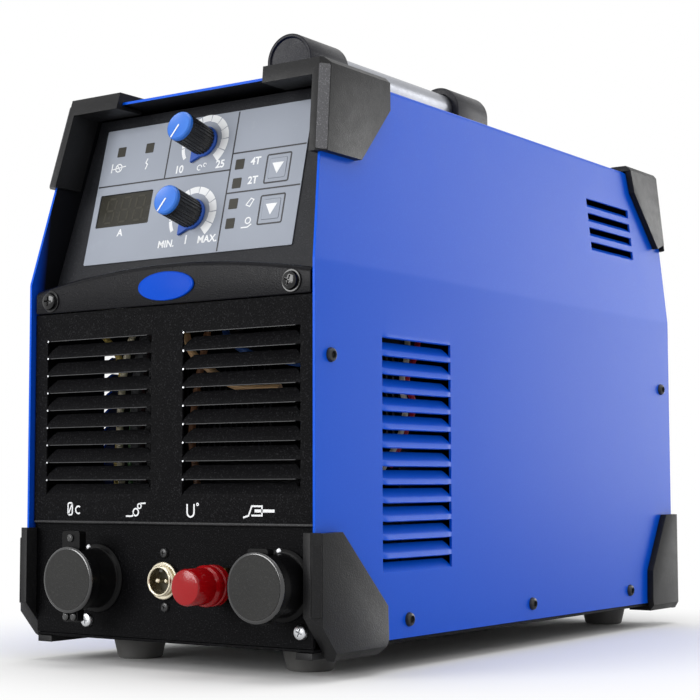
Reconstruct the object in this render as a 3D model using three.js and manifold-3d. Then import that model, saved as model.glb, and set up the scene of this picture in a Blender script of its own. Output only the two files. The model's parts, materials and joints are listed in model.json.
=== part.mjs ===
// A portable plasma cutter power source: a folded steel cover over a base pan, corner bumpers, a bar
// handle, a sloping control fascia, a louvred front, and the fan, boards and gas parts inside.
// Millimetres. x runs across, y back from the cover's front edge, z up from the cover's lower edge.
import * as THREE from "three";
import { mergeVertices } from "three/addons/utils/BufferGeometryUtils.js";
import Module from "manifold-3d";

const wasm = await Module();
wasm.setup();

// ---- Driving dimensions ----
const GAP = 0.3; // what touching pieces keep between them
const SHEET = 2;

const CASE = { width: 220, length: 470.6, height: 328.2, knee: 214.3, topInset: 12.2, topSetback: 26.1 };
const HALF = CASE.width / 2;
const PAN = { drop: 2, recess: 5.2, flange: 22, flangeSheet: 1.5, endClear: 8 };
const PANEL_RECESS = 4.5; // how far the front and rear panels sit inside the cover's edges

const SIDE_LOUVRE = { count: 13, pitch: 10.7, height: 8.3, lowest: 38.8, depth: 7, from: 67, to: 142.5 };
const SIDE_SLOT = { count: 4, pitch: 10.75, height: 6.5, lowest: 258.6, from: 350, to: 420 };
const GRILLE = { bottom: 67.6, top: 195.3, proud: 1 };
const GRILLE_LOUVRE = {
  count: 9, pitch: 10.7, height: 9.2, lowest: 83.5, depth: 6,
  inner: 12.1, outer: 97.4,
};

const PANEL_FACE = PANEL_RECESS + 0.5; // the connector panel's front face
const CONNECTOR_HEIGHT = 34;
const SOCKET = {
  left: -55, right: 84.5, flange: 20.5, flangeDepth: 2.5,
  boss: 17.5, bossDepth: 22, tail: 18, bore: 8,
};
const SOCKET_CAP = { radius: 19.5, front: 26, back: 16.5, lug: 7, lugRise: 8 };
const SIGNAL = { x: -1.5, radius: 8.9, bore: 7.4, front: 5.8, back: 14, pin: 1.1, pinSpacing: 6.6 };
const TORCH = { x: 41, z: 33, collar: 12.4, collarDepth: 5, spigot: 8, tail: 22, length: 26 };
const TORCH_CAP = { radius: 10.3, ring: 11.7, length: 32.8, wall: 1.9 };

const BEZEL = { half: 106, bottom: 195.6, ends: 210, peak: 220, front: 1.5, back: 18 };
const BADGE = { width: 44.7, height: 17.5, z: 206.3, thickness: 1.2 };
const SCREW = { x: 93, z: 203, head: 5, headHeight: 2.6 };

const FASCIA = { y: 20.5, lean: Math.atan(0.25), from: -8, to: 113, sheet: 2 };
const OVERLAY = { left: -86.6, right: 77, bottom: 13, top: 105, film: 0.5 };
const DISPLAY = { left: -82.5, right: -38.5, bottom: 37.7, top: 60, depth: 9 };
const LAMP = {
  window: 5,
  at: [[-71.5, 89], [-47.8, 89], [28.2, 68.8], [28.2, 56.5], [28.2, 43.2], [28.2, 30.6]],
};
const BUTTON = { x: 57.6, cap: 12, rows: { mode: 63.2, gas: 37 }, proud: 1.6 };
const KNOB = {
  x: -2.5, rows: { post_flow: 87, current: 39.2 },
  radius: 9.2, height: 27, ribs: 16, skirt: 11.2,
};
const KNOB_REST = THREE.MathUtils.degToRad(-40); // at rest the pointer is at its lowest mark, lower left
const SHAFT = { radius: 3, out: 17, in: 6 };

const HANDLE = {
  barRadius: 12.5, axisHeight: 367.2, front: 123, rear: 352.5,
  blockRadius: 17.7, block: 43.5, bore: 30,
};
const BUMPER = { wall: 5, lip: 4.8, inside: 4.7, chamfer: 5, topChamfer: 3.4 };
const FOOT = { x: 66, front: 56, rear: 440, top: 17.4, bottom: 13.4, floor: -18 };

const FAN = { size: 120, depth: 38, z: 112, bore: 56.5, rotor: 54, rotorDepth: 24, hub: 19, blades: 7 };
const GUARD = { wire: 1.3, rings: [18, 32, 46, 59], hub: 10 };
const INLET = { x: -78, z: 48, barb: 5, inside: 33.9, length: 28.9 };
const GLAND = { x: 76, z: 252, hex: 13, out: 24 };
const SWITCH = { x: -70, z: 250, width: 22, height: 31, tilt: THREE.MathUtils.degToRad(9) };

const VALVE = { depth: 26, body: 13, coil: 10, coilTop: 42 };
const HOSE = { radius: 4, steps: 44 };
const POWER_BOARD = { half: 92, from: 100, to: 360, bottom: 180.6, top: 182.6 };
const HEATSINK = {
  inner: 12, outer: 88, from: 120, to: 330,
  top: 180, base: 172, tips: 112, fins: 9, fin: 1.8,
};
const CAPACITOR = { radius: 17.5, height: 55.5, y: 150, left: -60, right: -20 };
const RECTIFIER = { from: 10, to: 50, front: 120, back: 152, height: 20 };
const TRANSFORMER = {
  half: 40, height: 78, front: 190, back: 220,
  yoke: 13, winding: 25, bulge: 12,
};
const CHOKE = { inner: 14, outer: 34, height: 26, x: 30, y: 310 };

// ---- Finishes ----
const finish = (color, roughness, metalness = 0) =>
  new THREE.MeshStandardMaterial({ color, roughness, metalness });
const BLUE_PAINT = finish(0x2355d2, 0.42);
const BLACK_PAINT = finish(0x1c1c1e, 0.75);
const GREY_PLASTIC = finish(0x47474a, 0.62);
const BLACK_PLASTIC = finish(0x222225, 0.5);
const RUBBER = finish(0x3a3a38, 0.85);
const ALUMINIUM = finish(0xc9cacc, 0.32, 1);
const STEEL = finish(0xb9bcc0, 0.3, 1);
const NICKEL = finish(0xcfcabb, 0.25, 1);
const BRASS = finish(0xb8963f, 0.3, 1);
const RED_PLASTIC = finish(0xb01622, 0.35);
const BLUE_PLASTIC = finish(0x4a86e0, 0.4);
const OVERLAY_FILM = finish(0xa3a9bf, 0.5);
const SMOKED = finish(0x2a2826, 0.2);
const BOARD = finish(0x1f5a36, 0.55);
const FERRITE = finish(0x3b3c40, 0.6);
const COPPER = finish(0xb06a3a, 0.4, 1);

// ---- Solids: three.js makes each shape, manifold joins and cuts them ----
function solid(geometry) {
  const bare = geometry.clone().deleteAttribute("normal").deleteAttribute("uv");
  const merged = mergeVertices(bare, 1e-3);
  const corners = [];
  const index = merged.index.array;
  for (let i = 0; i < index.length; i += 3) {
    const [a, b, c] = [index[i], index[i + 1], index[i + 2]];
    if (a !== b && b !== c && c !== a) corners.push(a, b, c);
  }
  const build = (order) =>
    new wasm.Manifold(
      new wasm.Mesh({
        numProp: 3,
        vertProperties: merged.attributes.position.array,
        triVerts: new Uint32Array(order),
      }),
    );
  const made = build(corners);
  return made.volume() > 0 ? made : build(corners.reverse());
}

const join = (...geometries) => geometries.map(solid).reduce((all, one) => all.add(one));
const joinAll = (solids) => solids.reduce((all, one) => all.add(one));

function geometryOf(made) {
  const { vertProperties, triVerts, numProp } = made.getMesh();
  const positions = new Float32Array((vertProperties.length / numProp) * 3);
  for (let i = 0; i < positions.length / 3; i++)
    positions.set(vertProperties.subarray(i * numProp, i * numProp + 3), i * 3);
  const geometry = new THREE.BufferGeometry()
    .setAttribute("position", new THREE.BufferAttribute(positions, 3))
    .setIndex(new THREE.BufferAttribute(triVerts, 1));
  geometry.computeVertexNormals();
  return geometry;
}

function meshOf(name, shape, material) {
  const made = shape.isBufferGeometry ? solid(shape) : shape;
  const mesh = new THREE.Mesh(geometryOf(made), material);
  mesh.name = name;
  return mesh;
}

// ---- Shapes ----
const box = (x0, x1, y0, y1, z0, z1) =>
  new THREE.BoxGeometry(x1 - x0, y1 - y0, z1 - z0).translate((x0 + x1) / 2, (y0 + y1) / 2, (z0 + z1) / 2);

const outline = (points) => new THREE.Shape(points.map(([u, v]) => new THREE.Vector2(u, v)));

function extruded(shape, depth, curveSegments = 12) {
  const made = Array.isArray(shape) ? outline(shape) : shape;
  return new THREE.ExtrudeGeometry(made, { depth, bevelEnabled: false, curveSegments });
}

// An outline of (y, z) pairs carried from x0 to x1.
const alongX = (points, x0, x1) => {
  const turn = new THREE.Matrix4().set(0, 0, 1, x0, 1, 0, 0, 0, 0, 1, 0, 0, 0, 0, 0, 1);
  return extruded(points, x1 - x0).applyMatrix4(turn);
};
// An outline of (x, z) pairs carried from y0 to y1.
const alongY = (shape, y0, y1, segments) =>
  extruded(shape, y1 - y0, segments).rotateX(Math.PI / 2).translate(0, y1, 0);
// An outline of (x, y) pairs carried from z0 to z1.
const alongZ = (shape, z0, z1, segments) => extruded(shape, z1 - z0, segments).translate(0, 0, z0);

// A turned piece: (radius, height) pairs about the z axis.
function turned(profile, segments = 28) {
  const points = profile.map(([r, h]) => new THREE.Vector2(r, h));
  return new THREE.LatheGeometry(points, segments).rotateX(Math.PI / 2);
}
const disc = (radius, h0, h1, segments = 28) =>
  turned([[0, h0], [radius, h0], [radius, h1], [0, h1]], segments);

// Turned pieces stand on +z; these lay them facing the front (-y) or the back (+y).
const toFront = (geometry, x, y, z) => geometry.rotateX(Math.PI / 2).translate(x, y, z);
const toBack = (geometry, x, y, z) => geometry.rotateX(-Math.PI / 2).translate(x, y, z);

// How much of the lean above the knee is reached at height z, 0 to 1.
const leanAt = (z) => Math.max(0, (z - CASE.knee) / (CASE.height - CASE.knee));
const sideAt = (z) => HALF - CASE.topInset * leanAt(z);

// ---- Louvres: a pressed scoop, flush at its lower edge and open at its deep upper edge ----
// Pairs (across, z), with the sheet's outer face at 0 and the inside at negative values.
function scoops({ count, pitch, height, lowest, depth }) {
  return Array.from({ length: count }, (_, i) => {
    const bottom = lowest + i * pitch;
    const top = bottom + height;
    return {
      pressed: [[-0.2, bottom], [-0.2, top - 0.2], [-depth, top - 0.2], [-depth, top - 1.6]],
      hollow: [[1, bottom + 1.1], [1, top], [-depth + 1.4, top]],
    };
  });
}

// What the sloped wall of each lower front bumper takes off the corners of the sheets behind it.
function cornerWedges() {
  const slope = [[-6, -9], [22.5, -9], [-6, 23.5]];
  const inner = HALF - BUMPER.inside - GAP;
  return join(alongX(slope, inner, HALF + 1), alongX(slope, -HALF - 1, -inner));
}

function coverShell() {
  const inner = HALF - SHEET;
  const innerTop = CASE.height - SHEET;
  const innerTopHalf = sideAt(CASE.height) - SHEET;
  const section = [
    [-HALF, 0], [-HALF, CASE.knee], [-sideAt(CASE.height), CASE.height],
    [sideAt(CASE.height), CASE.height], [HALF, CASE.knee], [HALF, 0],
    [inner, 0], [inner, CASE.knee], [innerTopHalf, innerTop],
    [-innerTopHalf, innerTop], [-inner, CASE.knee], [-inner, 0],
  ];
  const above = CASE.height + 10;
  const lean = [
    [-1, CASE.knee], [0, CASE.knee], [CASE.topSetback, CASE.height],
    [CASE.topSetback, above], [-1, above],
  ];
  return solid(alongY(section, 0, CASE.length)).subtract(solid(alongX(lean, -HALF - 1, HALF + 1)));
}

function cover() {
  let shell = coverShell();
  for (const side of [1, -1]) {
    for (const { pressed, hollow } of scoops(SIDE_LOUVRE)) {
      const place = (points) => points.map(([across, z]) => [side * (HALF + across), z]);
      const { from, to } = SIDE_LOUVRE;
      shell = shell.add(solid(alongY(place(pressed), from, to)));
      shell = shell.subtract(solid(alongY(place(hollow), from + 1.5, to - 1.5)));
    }
  }
  const { count, pitch, height, lowest, from, to } = SIDE_SLOT;
  for (let i = 0; i < count; i++) {
    const bottom = lowest + i * pitch;
    for (const side of [1, -1]) {
      const [x0, x1] = [side * 90, side * HALF].sort((a, b) => a - b);
      shell = shell.subtract(solid(box(x0, x1, from, to, bottom, bottom + height)));
    }
  }
  return meshOf("cover", shell.subtract(cornerWedges()), BLUE_PAINT);
}

function basePan() {
  const outer = HALF - SHEET - GAP;
  const inner = outer - PAN.flangeSheet;
  const floor = solid(box(-HALF, HALF, PAN.recess, CASE.length - PAN.recess, -PAN.drop, -GAP));
  const flange = (x0, x1) => solid(box(x0, x1, PAN.endClear, CASE.length - PAN.endClear, -1, PAN.flange));
  const pan = joinAll([floor, flange(-outer, -inner), flange(inner, outer)]);
  return meshOf("base_pan", pan.subtract(cornerWedges()), BLACK_PAINT);
}

const boreAt = (x, z, radius, y0, y1) => solid(toFront(disc(radius, -y1, -y0, 24), x, 0, z));

function connectorPanel() {
  const half = HALF - SHEET - GAP;
  let panel = solid(box(-half, half, PANEL_FACE, PANEL_FACE + SHEET, 0, GRILLE.bottom - GAP));
  const holes = [
    [SOCKET.left, CONNECTOR_HEIGHT, SOCKET.bore + 4.5],
    [SOCKET.right, CONNECTOR_HEIGHT, SOCKET.bore + 4.5],
    [SIGNAL.x, CONNECTOR_HEIGHT, SIGNAL.radius + 0.4],
    [TORCH.x, TORCH.z, TORCH.spigot + 1],
  ];
  for (const [x, z, r] of holes) panel = panel.subtract(boreAt(x, z, r, 0, 12));
  return meshOf("connector_panel", panel.subtract(cornerWedges()), BLACK_PAINT);
}

function grillePanel() {
  const y = PANEL_RECESS - GRILLE.proud;
  const half = HALF - SHEET - GAP;
  let panel = solid(box(-half, half, y, y + SHEET, GRILLE.bottom, GRILLE.top));
  for (const side of [1, -1]) {
    const ends = [side * GRILLE_LOUVRE.inner, side * GRILLE_LOUVRE.outer].sort((a, b) => a - b);
    for (const { pressed, hollow } of scoops(GRILLE_LOUVRE)) {
      const place = (points) => points.map(([across, z]) => [y - across, z]);
      panel = panel.add(solid(alongX(place(pressed), ends[0], ends[1])));
      panel = panel.subtract(solid(alongX(place(hollow), ends[0] + 1.5, ends[1] - 1.5)));
    }
  }
  return meshOf("grille_panel", panel, BLACK_PAINT);
}

function bezel() {
  const { half, bottom, ends, peak, front, back } = BEZEL;
  const shape = new THREE.Shape();
  shape.moveTo(-half, bottom);
  shape.lineTo(half, bottom);
  shape.lineTo(half, ends);
  shape.quadraticCurveTo(0, 2 * peak - ends, -half, ends);
  shape.closePath();
  let strip = solid(alongY(shape, front, back, 20));
  for (const side of [1, -1])
    strip = strip.subtract(boreAt(side * SCREW.x, SCREW.z, 2.3, -1, 12));
  return meshOf("bezel", strip, BLACK_PLASTIC);
}

function badge() {
  const oval = new THREE.Shape();
  oval.absellipse(0, BADGE.z, BADGE.width / 2, BADGE.height / 2, 0, Math.PI * 2);
  const front = BEZEL.front - GAP - BADGE.thickness;
  return meshOf("badge", alongY(oval, front, front + BADGE.thickness, 16), BLUE_PLASTIC);
}

function bezelScrew(name, x) {
  const { head: radius, headHeight: top } = SCREW;
  const head = turned([[0, 0], [radius, 0], [radius - 0.6, 1.6], [2.6, top], [0, top]], 20);
  const shank = disc(1.9, -7, 0.2, 12);
  const arm = (w, h) => solid(box(-w, w, -h, h, 1.3, 3));
  const screw = join(head, shank).subtract(arm(2.2, 0.5)).subtract(arm(0.5, 2.2));
  const mesh = meshOf(name, screw, BLACK_PAINT);
  mesh.position.set(x, BEZEL.front - GAP, SCREW.z);
  mesh.rotation.x = Math.PI / 2;
  return mesh;
}

function rearPanel() {
  const y = CASE.length - PANEL_RECESS;
  const clear = SHEET + GAP;
  const section = [
    [-HALF + clear, 0], [HALF - clear, 0], [HALF - clear, CASE.knee],
    [sideAt(CASE.height) - clear, CASE.height - clear], [-sideAt(CASE.height) + clear, CASE.height - clear],
    [-HALF + clear, CASE.knee],
  ];
  let panel = solid(alongY(section, y - SHEET, y));
  panel = panel.subtract(boreAt(0, FAN.z, FAN.bore, y - 5, y + 5));
  panel = panel.subtract(boreAt(GLAND.x, GLAND.z, 8.5, y - 5, y + 5));
  panel = panel.subtract(boreAt(INLET.x, INLET.z, 7, y - 5, y + 5));
  const [w, h] = [SWITCH.width / 2 - 1.5, SWITCH.height / 2 - 1.5];
  panel = panel.subtract(solid(box(SWITCH.x - w, SWITCH.x + w, y - 5, y + 5, SWITCH.z - h, SWITCH.z + h)));
  return meshOf("rear_panel", panel, BLACK_PAINT);
}

// ---- Corner bumpers ----
// Local pairs (b, c): b runs in from the cover's front or rear edge, c in from its top or lower edge.
// a runs out from the cover's side. Each bumper clips over the sheet: a plate outside it, a lip round
// its edge and a thin flange inside. The lower ones slope back under the corner.
const TOP_PLATE = { outline: [[5, -4.8], [5, 59], [-10, 59], [-41, 26], [-41, -4.8]], depth: 5.8 };
const REAR_TOP_PLATE = { outline: [[5, -4.8], [5, 48], [-10, 48], [-41, 26], [-41, -4.8]], depth: 4.6 };
const LOWER_PLATE = { outline: [[5, 5], [5, 58], [-17, 58], [-17, 5]], depth: 4 };
const REAR_LOWER_PLATE = { outline: [[5, -4.8], [5, 41], [-17, 41], [-17, -4.8]], depth: 4 };
const BUMPERS = {
  front_top: {
    side: [[-4.8, -5.8], [61, -5.8], [62.6, 15.3], [34.7, 51.4], [-4.8, 51.2]],
    plate: TOP_PLATE, flange: 18, arm: 41,
  },
  front_bottom: {
    side: [[-4.8, -5.5], [60, -5.5], [65.3, 3], [64.5, 22.4], [19.4, 65.5], [-4.8, 65]],
    plate: LOWER_PLATE, flange: 4, arm: 0, sloped: true,
  },
  rear_bottom: {
    side: [[-4.8, -1.4], [-2.2, -4.4], [42, -4.4], [46, 3.8], [45.4, 26.2], [20, 67.5], [-4.8, 67.5]],
    plate: REAR_LOWER_PLATE, flange: 3.6, arm: 0, sloped: false,
  },
  rear_top: {
    side: [[-4.8, -4.6], [48, -4.6], [45, 16.5], [13, 56.9], [-4.8, 50.5]],
    plate: REAR_TOP_PLATE, flange: 3.6, arm: 41,
  },
};
const SLOPE_WALL = [[-4.8, 19.9], [17.5, -5.5], [20.8, -5.5], [-4.8, 23.7]];
const SLOPE_CUT = [[-9, -9], [-9, 24.7], [-4.8, 19.9], [17.5, -5.5], [20.6, -9]];

// While it is built a bumper's x = a, y = b and z = c.
function bumperSolid({ side, plate, flange, arm, sloped }) {
  const { wall, lip, inside, chamfer, topChamfer } = BUMPER;
  const low = Math.min(...side.map(([, c]) => c));
  const deep = Math.max(...side.map(([, c]) => c));
  const sheetSide = SHEET + GAP;
  const armDepth = 4.6;
  const pieces = [
    alongX(side, GAP, wall),
    alongZ(plate.outline, -plate.depth, -GAP),
    box(-inside, wall, -lip, -GAP, low, deep),
    box(-inside, -sheetSide, -lip, flange, sheetSide, deep),
  ];
  if (arm) {
    pieces.push(box(-arm, 0, -lip, -GAP, low, armDepth));
    pieces.push(box(-arm, -sheetSide, -lip, flange, sheetSide, armDepth));
  }
  if (sloped) pieces.push(alongX(SLOPE_WALL, -inside, wall));
  const outer = wall + 1;
  const corner = [[outer, -lip - 1], [outer, chamfer - lip + 1], [wall - chamfer - 1, -lip - 1]];
  const edge = arm ? topChamfer : chamfer;
  const under = [[outer, low - 1], [outer, low + edge + 1], [wall - edge - 1, low - 1]];
  const made = join(...pieces)
    .subtract(solid(alongZ(corner, low - 1, deep + 1)))
    .subtract(solid(alongY(under, -lip - 1, 70)));
  return sloped ? made.subtract(solid(alongX(SLOPE_CUT, -inside - 1, outer))) : made;
}

function bumperPair(corner) {
  const [end, level] = corner.split("_");
  const local = geometryOf(bumperSolid(BUMPERS[corner]));
  const top = level === "top";
  const place = new THREE.Matrix4().set(
    1, 0, 0, HALF,
    0, end === "front" ? 1 : -1, 0, end === "front" ? 0 : CASE.length,
    0, 0, top ? -1 : 1, top ? CASE.height : -PAN.drop,
    0, 0, 0, 1,
  );
  local.applyMatrix4(place);
  if (top) {
    const rise = CASE.height - CASE.knee;
    const across = -CASE.topInset / rise;
    const back = end === "front" ? CASE.topSetback / rise : 0;
    const lean = new THREE.Matrix4().set(
      1, 0, across, -across * CASE.knee,
      0, 1, back, -back * CASE.knee,
      0, 0, 1, 0,
      0, 0, 0, 1,
    );
    local.applyMatrix4(lean);
  }
  const right = meshOf(`bumper_${corner}_right`, solid(local), GREY_PLASTIC);
  const left = meshOf(`bumper_${corner}_left`, solid(local), GREY_PLASTIC);
  left.scale.x = -1;
  return [right, left];
}

// ---- Handle and feet ----
function archShape(radius, centre, bottom) {
  const shape = new THREE.Shape();
  shape.moveTo(-radius, bottom);
  shape.lineTo(radius, bottom);
  shape.lineTo(radius, centre);
  shape.absarc(0, centre, radius, 0, Math.PI, false);
  shape.closePath();
  return shape;
}

function handleBlock(name, y0, y1, facesFront) {
  const { axisHeight, blockRadius, barRadius, bore: depth } = HANDLE;
  const bottom = CASE.height + GAP;
  let block = solid(alongY(archShape(blockRadius, axisHeight, bottom), y0, y1, 20));
  const inset = archShape(blockRadius - 2.4, axisHeight, bottom + 2.4);
  const face = facesFront ? [y0 - 1, y0 + 1.5] : [y1 - 1.5, y1 + 1];
  block = block.subtract(solid(alongY(inset, face[0], face[1], 20)));
  const bore = facesFront ? [y1 - depth, y1 + 1] : [y0 - 1, y0 + depth];
  block = block.subtract(boreAt(0, axisHeight, barRadius + GAP, bore[0], bore[1]));
  return meshOf(name, block, BLACK_PLASTIC);
}

function handleBar() {
  const { barRadius, axisHeight, front, rear, block, bore } = HANDLE;
  const inset = block - bore + 1;
  const bar = toBack(disc(barRadius, front + inset, rear - inset, 32), 0, 0, axisHeight);
  return meshOf("handle_bar", bar, ALUMINIUM);
}

function foot(name, x, y) {
  const top = -PAN.drop - GAP;
  const { bottom, floor } = FOOT;
  const profile = [[0, floor], [bottom - 1.2, floor], [bottom, floor + 1.2], [FOOT.top, top], [0, top]];
  const mesh = meshOf(name, turned(profile, 28), RUBBER);
  mesh.position.set(x, y, 0);
  return mesh;
}

// ---- Front connectors ----
const onPanel = (mesh, x, z) => {
  mesh.position.set(x, PANEL_FACE - GAP, z);
  mesh.rotation.x = Math.PI / 2;
  return mesh;
};

function socket(name, x) {
  const { flange, flangeDepth, boss, bossDepth, tail, bore } = SOCKET;
  const edge = flangeDepth - 1;
  const body = join(
    turned([[0, 0], [flange, 0], [flange, edge], [flange - 1, flangeDepth], [0, flangeDepth]]),
    disc(boss, 1, bossDepth),
    disc(bore + 4, -tail, 1),
  );
  const made = body.subtract(solid(disc(bore, -tail + 8, bossDepth + 1)));
  const key = solid(box(bore - 2, bore + 1, -2, 2, -tail + 9, bossDepth - 9));
  return onPanel(meshOf(name, made.add(key), BLACK_PLASTIC), x, CONNECTOR_HEIGHT);
}

function socketCap(name, x) {
  const { radius, front, back, lug, lugRise } = SOCKET_CAP;
  const inner = SOCKET.boss + GAP;
  const seat = SOCKET.bossDepth + GAP;
  const cup = turned([
    [0, front], [radius - 1.2, front], [radius, front - 1.2], [radius, back],
    [inner, back], [inner, seat], [0, seat],
  ]);
  const tab = box(-lug, lug, radius - 1, radius + lugRise, back, front - 2);
  return onPanel(meshOf(name, join(cup, tab), RUBBER), x, CONNECTOR_HEIGHT);
}

function signalSocket() {
  const { x, radius, bore, front, back, pin, pinSpacing } = SIGNAL;
  const floor = -6;
  const clear = -SHEET - 2 * GAP;
  const nut = turned([[0, -8], [radius + 3, -8], [radius + 3, clear], [0, clear]], 6);
  const shell = join(disc(radius, -back, front), nut).subtract(solid(disc(bore, floor, front + 1)));
  const pinAt = (x) => solid(disc(pin, floor - 1, front - 3, 10).translate(x, 0, 0));
  const made = joinAll([shell, pinAt(-pinSpacing / 2), pinAt(pinSpacing / 2)]);
  return onPanel(meshOf("signal_socket", made, NICKEL), x, CONNECTOR_HEIGHT);
}

function torchConnector() {
  const { x, z, collar, collarDepth, spigot, tail, length } = TORCH;
  const body = join(
    turned([[0, 0], [collar, 0], [collar, collarDepth - 1], [collar - 1, collarDepth], [0, collarDepth]], 6),
    disc(spigot, -tail, 1, 24),
    disc(spigot - 0.4, 1, length, 24),
  );
  const bored = body.subtract(solid(disc(1.8, -tail - 3, length + 1, 12)));
  return onPanel(meshOf("torch_connector", bored, BRASS), x, z);
}

function torchCap() {
  const { radius, ring, length, wall } = TORCH_CAP;
  const back = TORCH.collarDepth + GAP;
  const groove = ring - 0.9;
  const cup = turned([
    [0, length], [radius - 1, length], [radius, length - 1], [radius, 17], [ring - 0.5, 16], [ring, 15],
    [ring, 12.6], [groove, 11.8], [groove, 10.6], [ring, 9.8], [ring, back],
    [radius - wall, back], [radius - wall, length - wall], [0, length - wall],
  ]);
  return onPanel(meshOf("torch_connector_cap", cup, RED_PLASTIC), TORCH.x, TORCH.z);
}

// ---- Control fascia: a leaning group, x across, z up the slope, -y out of it ----
// What the display, the buttons and the knobs' shafts need open in the panel and in the film on it.
function controlOpenings(y0, y1) {
  const reach = BUTTON.cap / 2 + 0.5;
  const shaftHole = 5;
  const at = (x0, x1, z0, z1) => solid(box(x0, x1, y0, y1, z0, z1));
  return [
    at(DISPLAY.left, DISPLAY.right, DISPLAY.bottom, DISPLAY.top),
    ...Object.values(BUTTON.rows).map((v) => at(BUTTON.x - reach, BUTTON.x + reach, v - reach, v + reach)),
    ...Object.values(KNOB.rows).map((v) => boreAt(KNOB.x, v, shaftHole, y0, y1)),
  ];
}

function fasciaPanel() {
  const { from, to, sheet } = FASCIA;
  const rise = Math.cos(FASCIA.lean);
  const half = (v) => sideAt(CASE.knee + v * rise) - SHEET - 1;
  const shape = [
    [-half(0), from], [half(0), from], [half(0), 0],
    [half(to), to], [-half(to), to], [-half(0), 0],
  ];
  const lens = LAMP.window / 2;
  const lamps = LAMP.at.map(([x, v]) => solid(box(x - lens, x + lens, -1, sheet + 1, v - lens, v + lens)));
  const openings = joinAll([...lamps, ...controlOpenings(-1, sheet + 1)]);
  return meshOf("fascia_panel", solid(alongY(shape, 0, sheet)).subtract(openings), BLACK_PAINT);
}

function overlay() {
  const { left, right, bottom, top, film } = OVERLAY;
  const sheet = solid(box(left, right, -GAP - film, -GAP, bottom, top));
  return meshOf("overlay", sheet.subtract(joinAll(controlOpenings(-2, 1))), OVERLAY_FILM);
}

function displayModule() {
  const { left, right, bottom, top, depth } = DISPLAY;
  return meshOf("display_module", box(left + GAP, right - GAP, -0.2, depth, bottom + GAP, top - GAP), SMOKED);
}

const BOARD_BACK = 14; // how far behind the fascia's face the control board lies

function controlBoard() {
  const { left, right, bottom, top } = OVERLAY;
  let board = solid(box(left, right, BOARD_BACK, BOARD_BACK + 1.6, bottom, top));
  for (const v of Object.values(KNOB.rows)) board = board.subtract(boreAt(KNOB.x, v, 9.6, 10, 20));
  const post = (v) => box(BUTTON.x - 2.5, BUTTON.x + 2.5, 6, BOARD_BACK + 0.5, v - 2.5, v + 2.5);
  for (const v of Object.values(BUTTON.rows)) board = board.add(solid(post(v)));
  return meshOf("control_board", board, BOARD);
}

function button(name, v) {
  const { cap, proud } = BUTTON;
  const r = cap / 2;
  const key = join(box(-r, r, -proud, 3, -r, r), box(-r - 1.5, r + 1.5, 2.7, 4.2, -r - 1.5, r + 1.5));
  const mesh = meshOf(name, key, OVERLAY_FILM);
  mesh.position.set(BUTTON.x, 0, v);
  return mesh;
}

function knob(name, v) {
  const { radius, height, ribs, skirt } = KNOB;
  const cap = radius - 0.1;
  const shape = new THREE.Shape();
  const steps = ribs * 4;
  for (let i = 0; i < steps; i++) {
    const r = i % 4 < 2 ? radius : radius - 0.5;
    const angle = (i / steps) * Math.PI * 2;
    shape[i ? "lineTo" : "moveTo"](r * Math.cos(angle), r * Math.sin(angle));
  }
  const nose = [[-3.4, -9], [0, -skirt - 4.6], [3.4, -9]];
  const body = join(
    alongZ(shape, 3, height - 2.4),
    turned([[0, 1.2], [skirt, 1.2], [skirt, 2.6], [radius + 0.4, 4], [0, 4]]),
    alongZ(nose, 1.2, 3.4).rotateZ(KNOB_REST),
    turned([[0, height - 2.6], [cap, height - 2.6], [cap, height - 0.8], [cap - 0.9, height], [0, height]]),
  );
  const bored = body.subtract(solid(disc(SHAFT.radius + GAP, 0, SHAFT.out + 1, 20)));
  const mesh = meshOf(name, bored, BLACK_PLASTIC);
  mesh.position.set(KNOB.x, 0, v);
  mesh.rotation.x = Math.PI / 2;
  return mesh;
}

function knobShaft(name, v) {
  const mesh = meshOf(name, disc(SHAFT.radius, -SHAFT.in, SHAFT.out, 20), STEEL);
  mesh.position.set(KNOB.x, 0, v);
  mesh.rotation.x = Math.PI / 2;
  return mesh;
}

function potentiometer(name, v) {
  const body = join(disc(8.6, -18, -2.6, 24), disc(4.4, -2.8, -0.5, 20));
  const bored = body.subtract(solid(disc(SHAFT.radius + GAP, -SHAFT.in - GAP, 1, 20)));
  const mesh = meshOf(name, bored, STEEL);
  mesh.position.set(KNOB.x, 0, v);
  mesh.rotation.x = Math.PI / 2;
  return mesh;
}

function fascia() {
  const group = new THREE.Group();
  group.position.set(0, FASCIA.y, CASE.knee);
  group.rotation.x = -FASCIA.lean;
  group.add(fasciaPanel(), overlay(), displayModule(), controlBoard());
  for (const [use, v] of Object.entries(KNOB.rows)) {
    group.add(knob(`knob_${use}`, v), knobShaft(`shaft_${use}`, v));
    group.add(potentiometer(`potentiometer_${use}`, v));
  }
  for (const [use, v] of Object.entries(BUTTON.rows)) group.add(button(`button_${use}`, v));
  return group;
}

// ---- Rear: fan, guard, switch, gland and gas inlet ----
const REAR_FACE = CASE.length - PANEL_RECESS;
const FAN_FRONT = REAR_FACE - SHEET - GAP - FAN.depth;
const FAN_AXLE = 2.2;

function fanFrame() {
  const half = FAN.size / 2;
  const [y0, y1] = [FAN_FRONT, FAN_FRONT + FAN.depth];
  let frame = solid(box(-half, half, y0, y1, FAN.z - half, FAN.z + half));
  frame = frame.subtract(boreAt(0, FAN.z, FAN.bore, y0 - 1, y1 + 1));
  const arm = box(-half + 2, half - 2, y0 + 2, y0 + 5, FAN.z - 3.5, FAN.z + 3.5);
  const plate = toFront(disc(FAN.hub - 1, -y0 - 6, -y0 - 2, 24), 0, 0, FAN.z);
  const axle = toFront(disc(FAN_AXLE, -y0 - 16, -y0 - 5, 12), 0, 0, FAN.z);
  return meshOf("fan_frame", joinAll([frame, join(arm, plate, axle)]), BLACK_PLASTIC);
}

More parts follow.
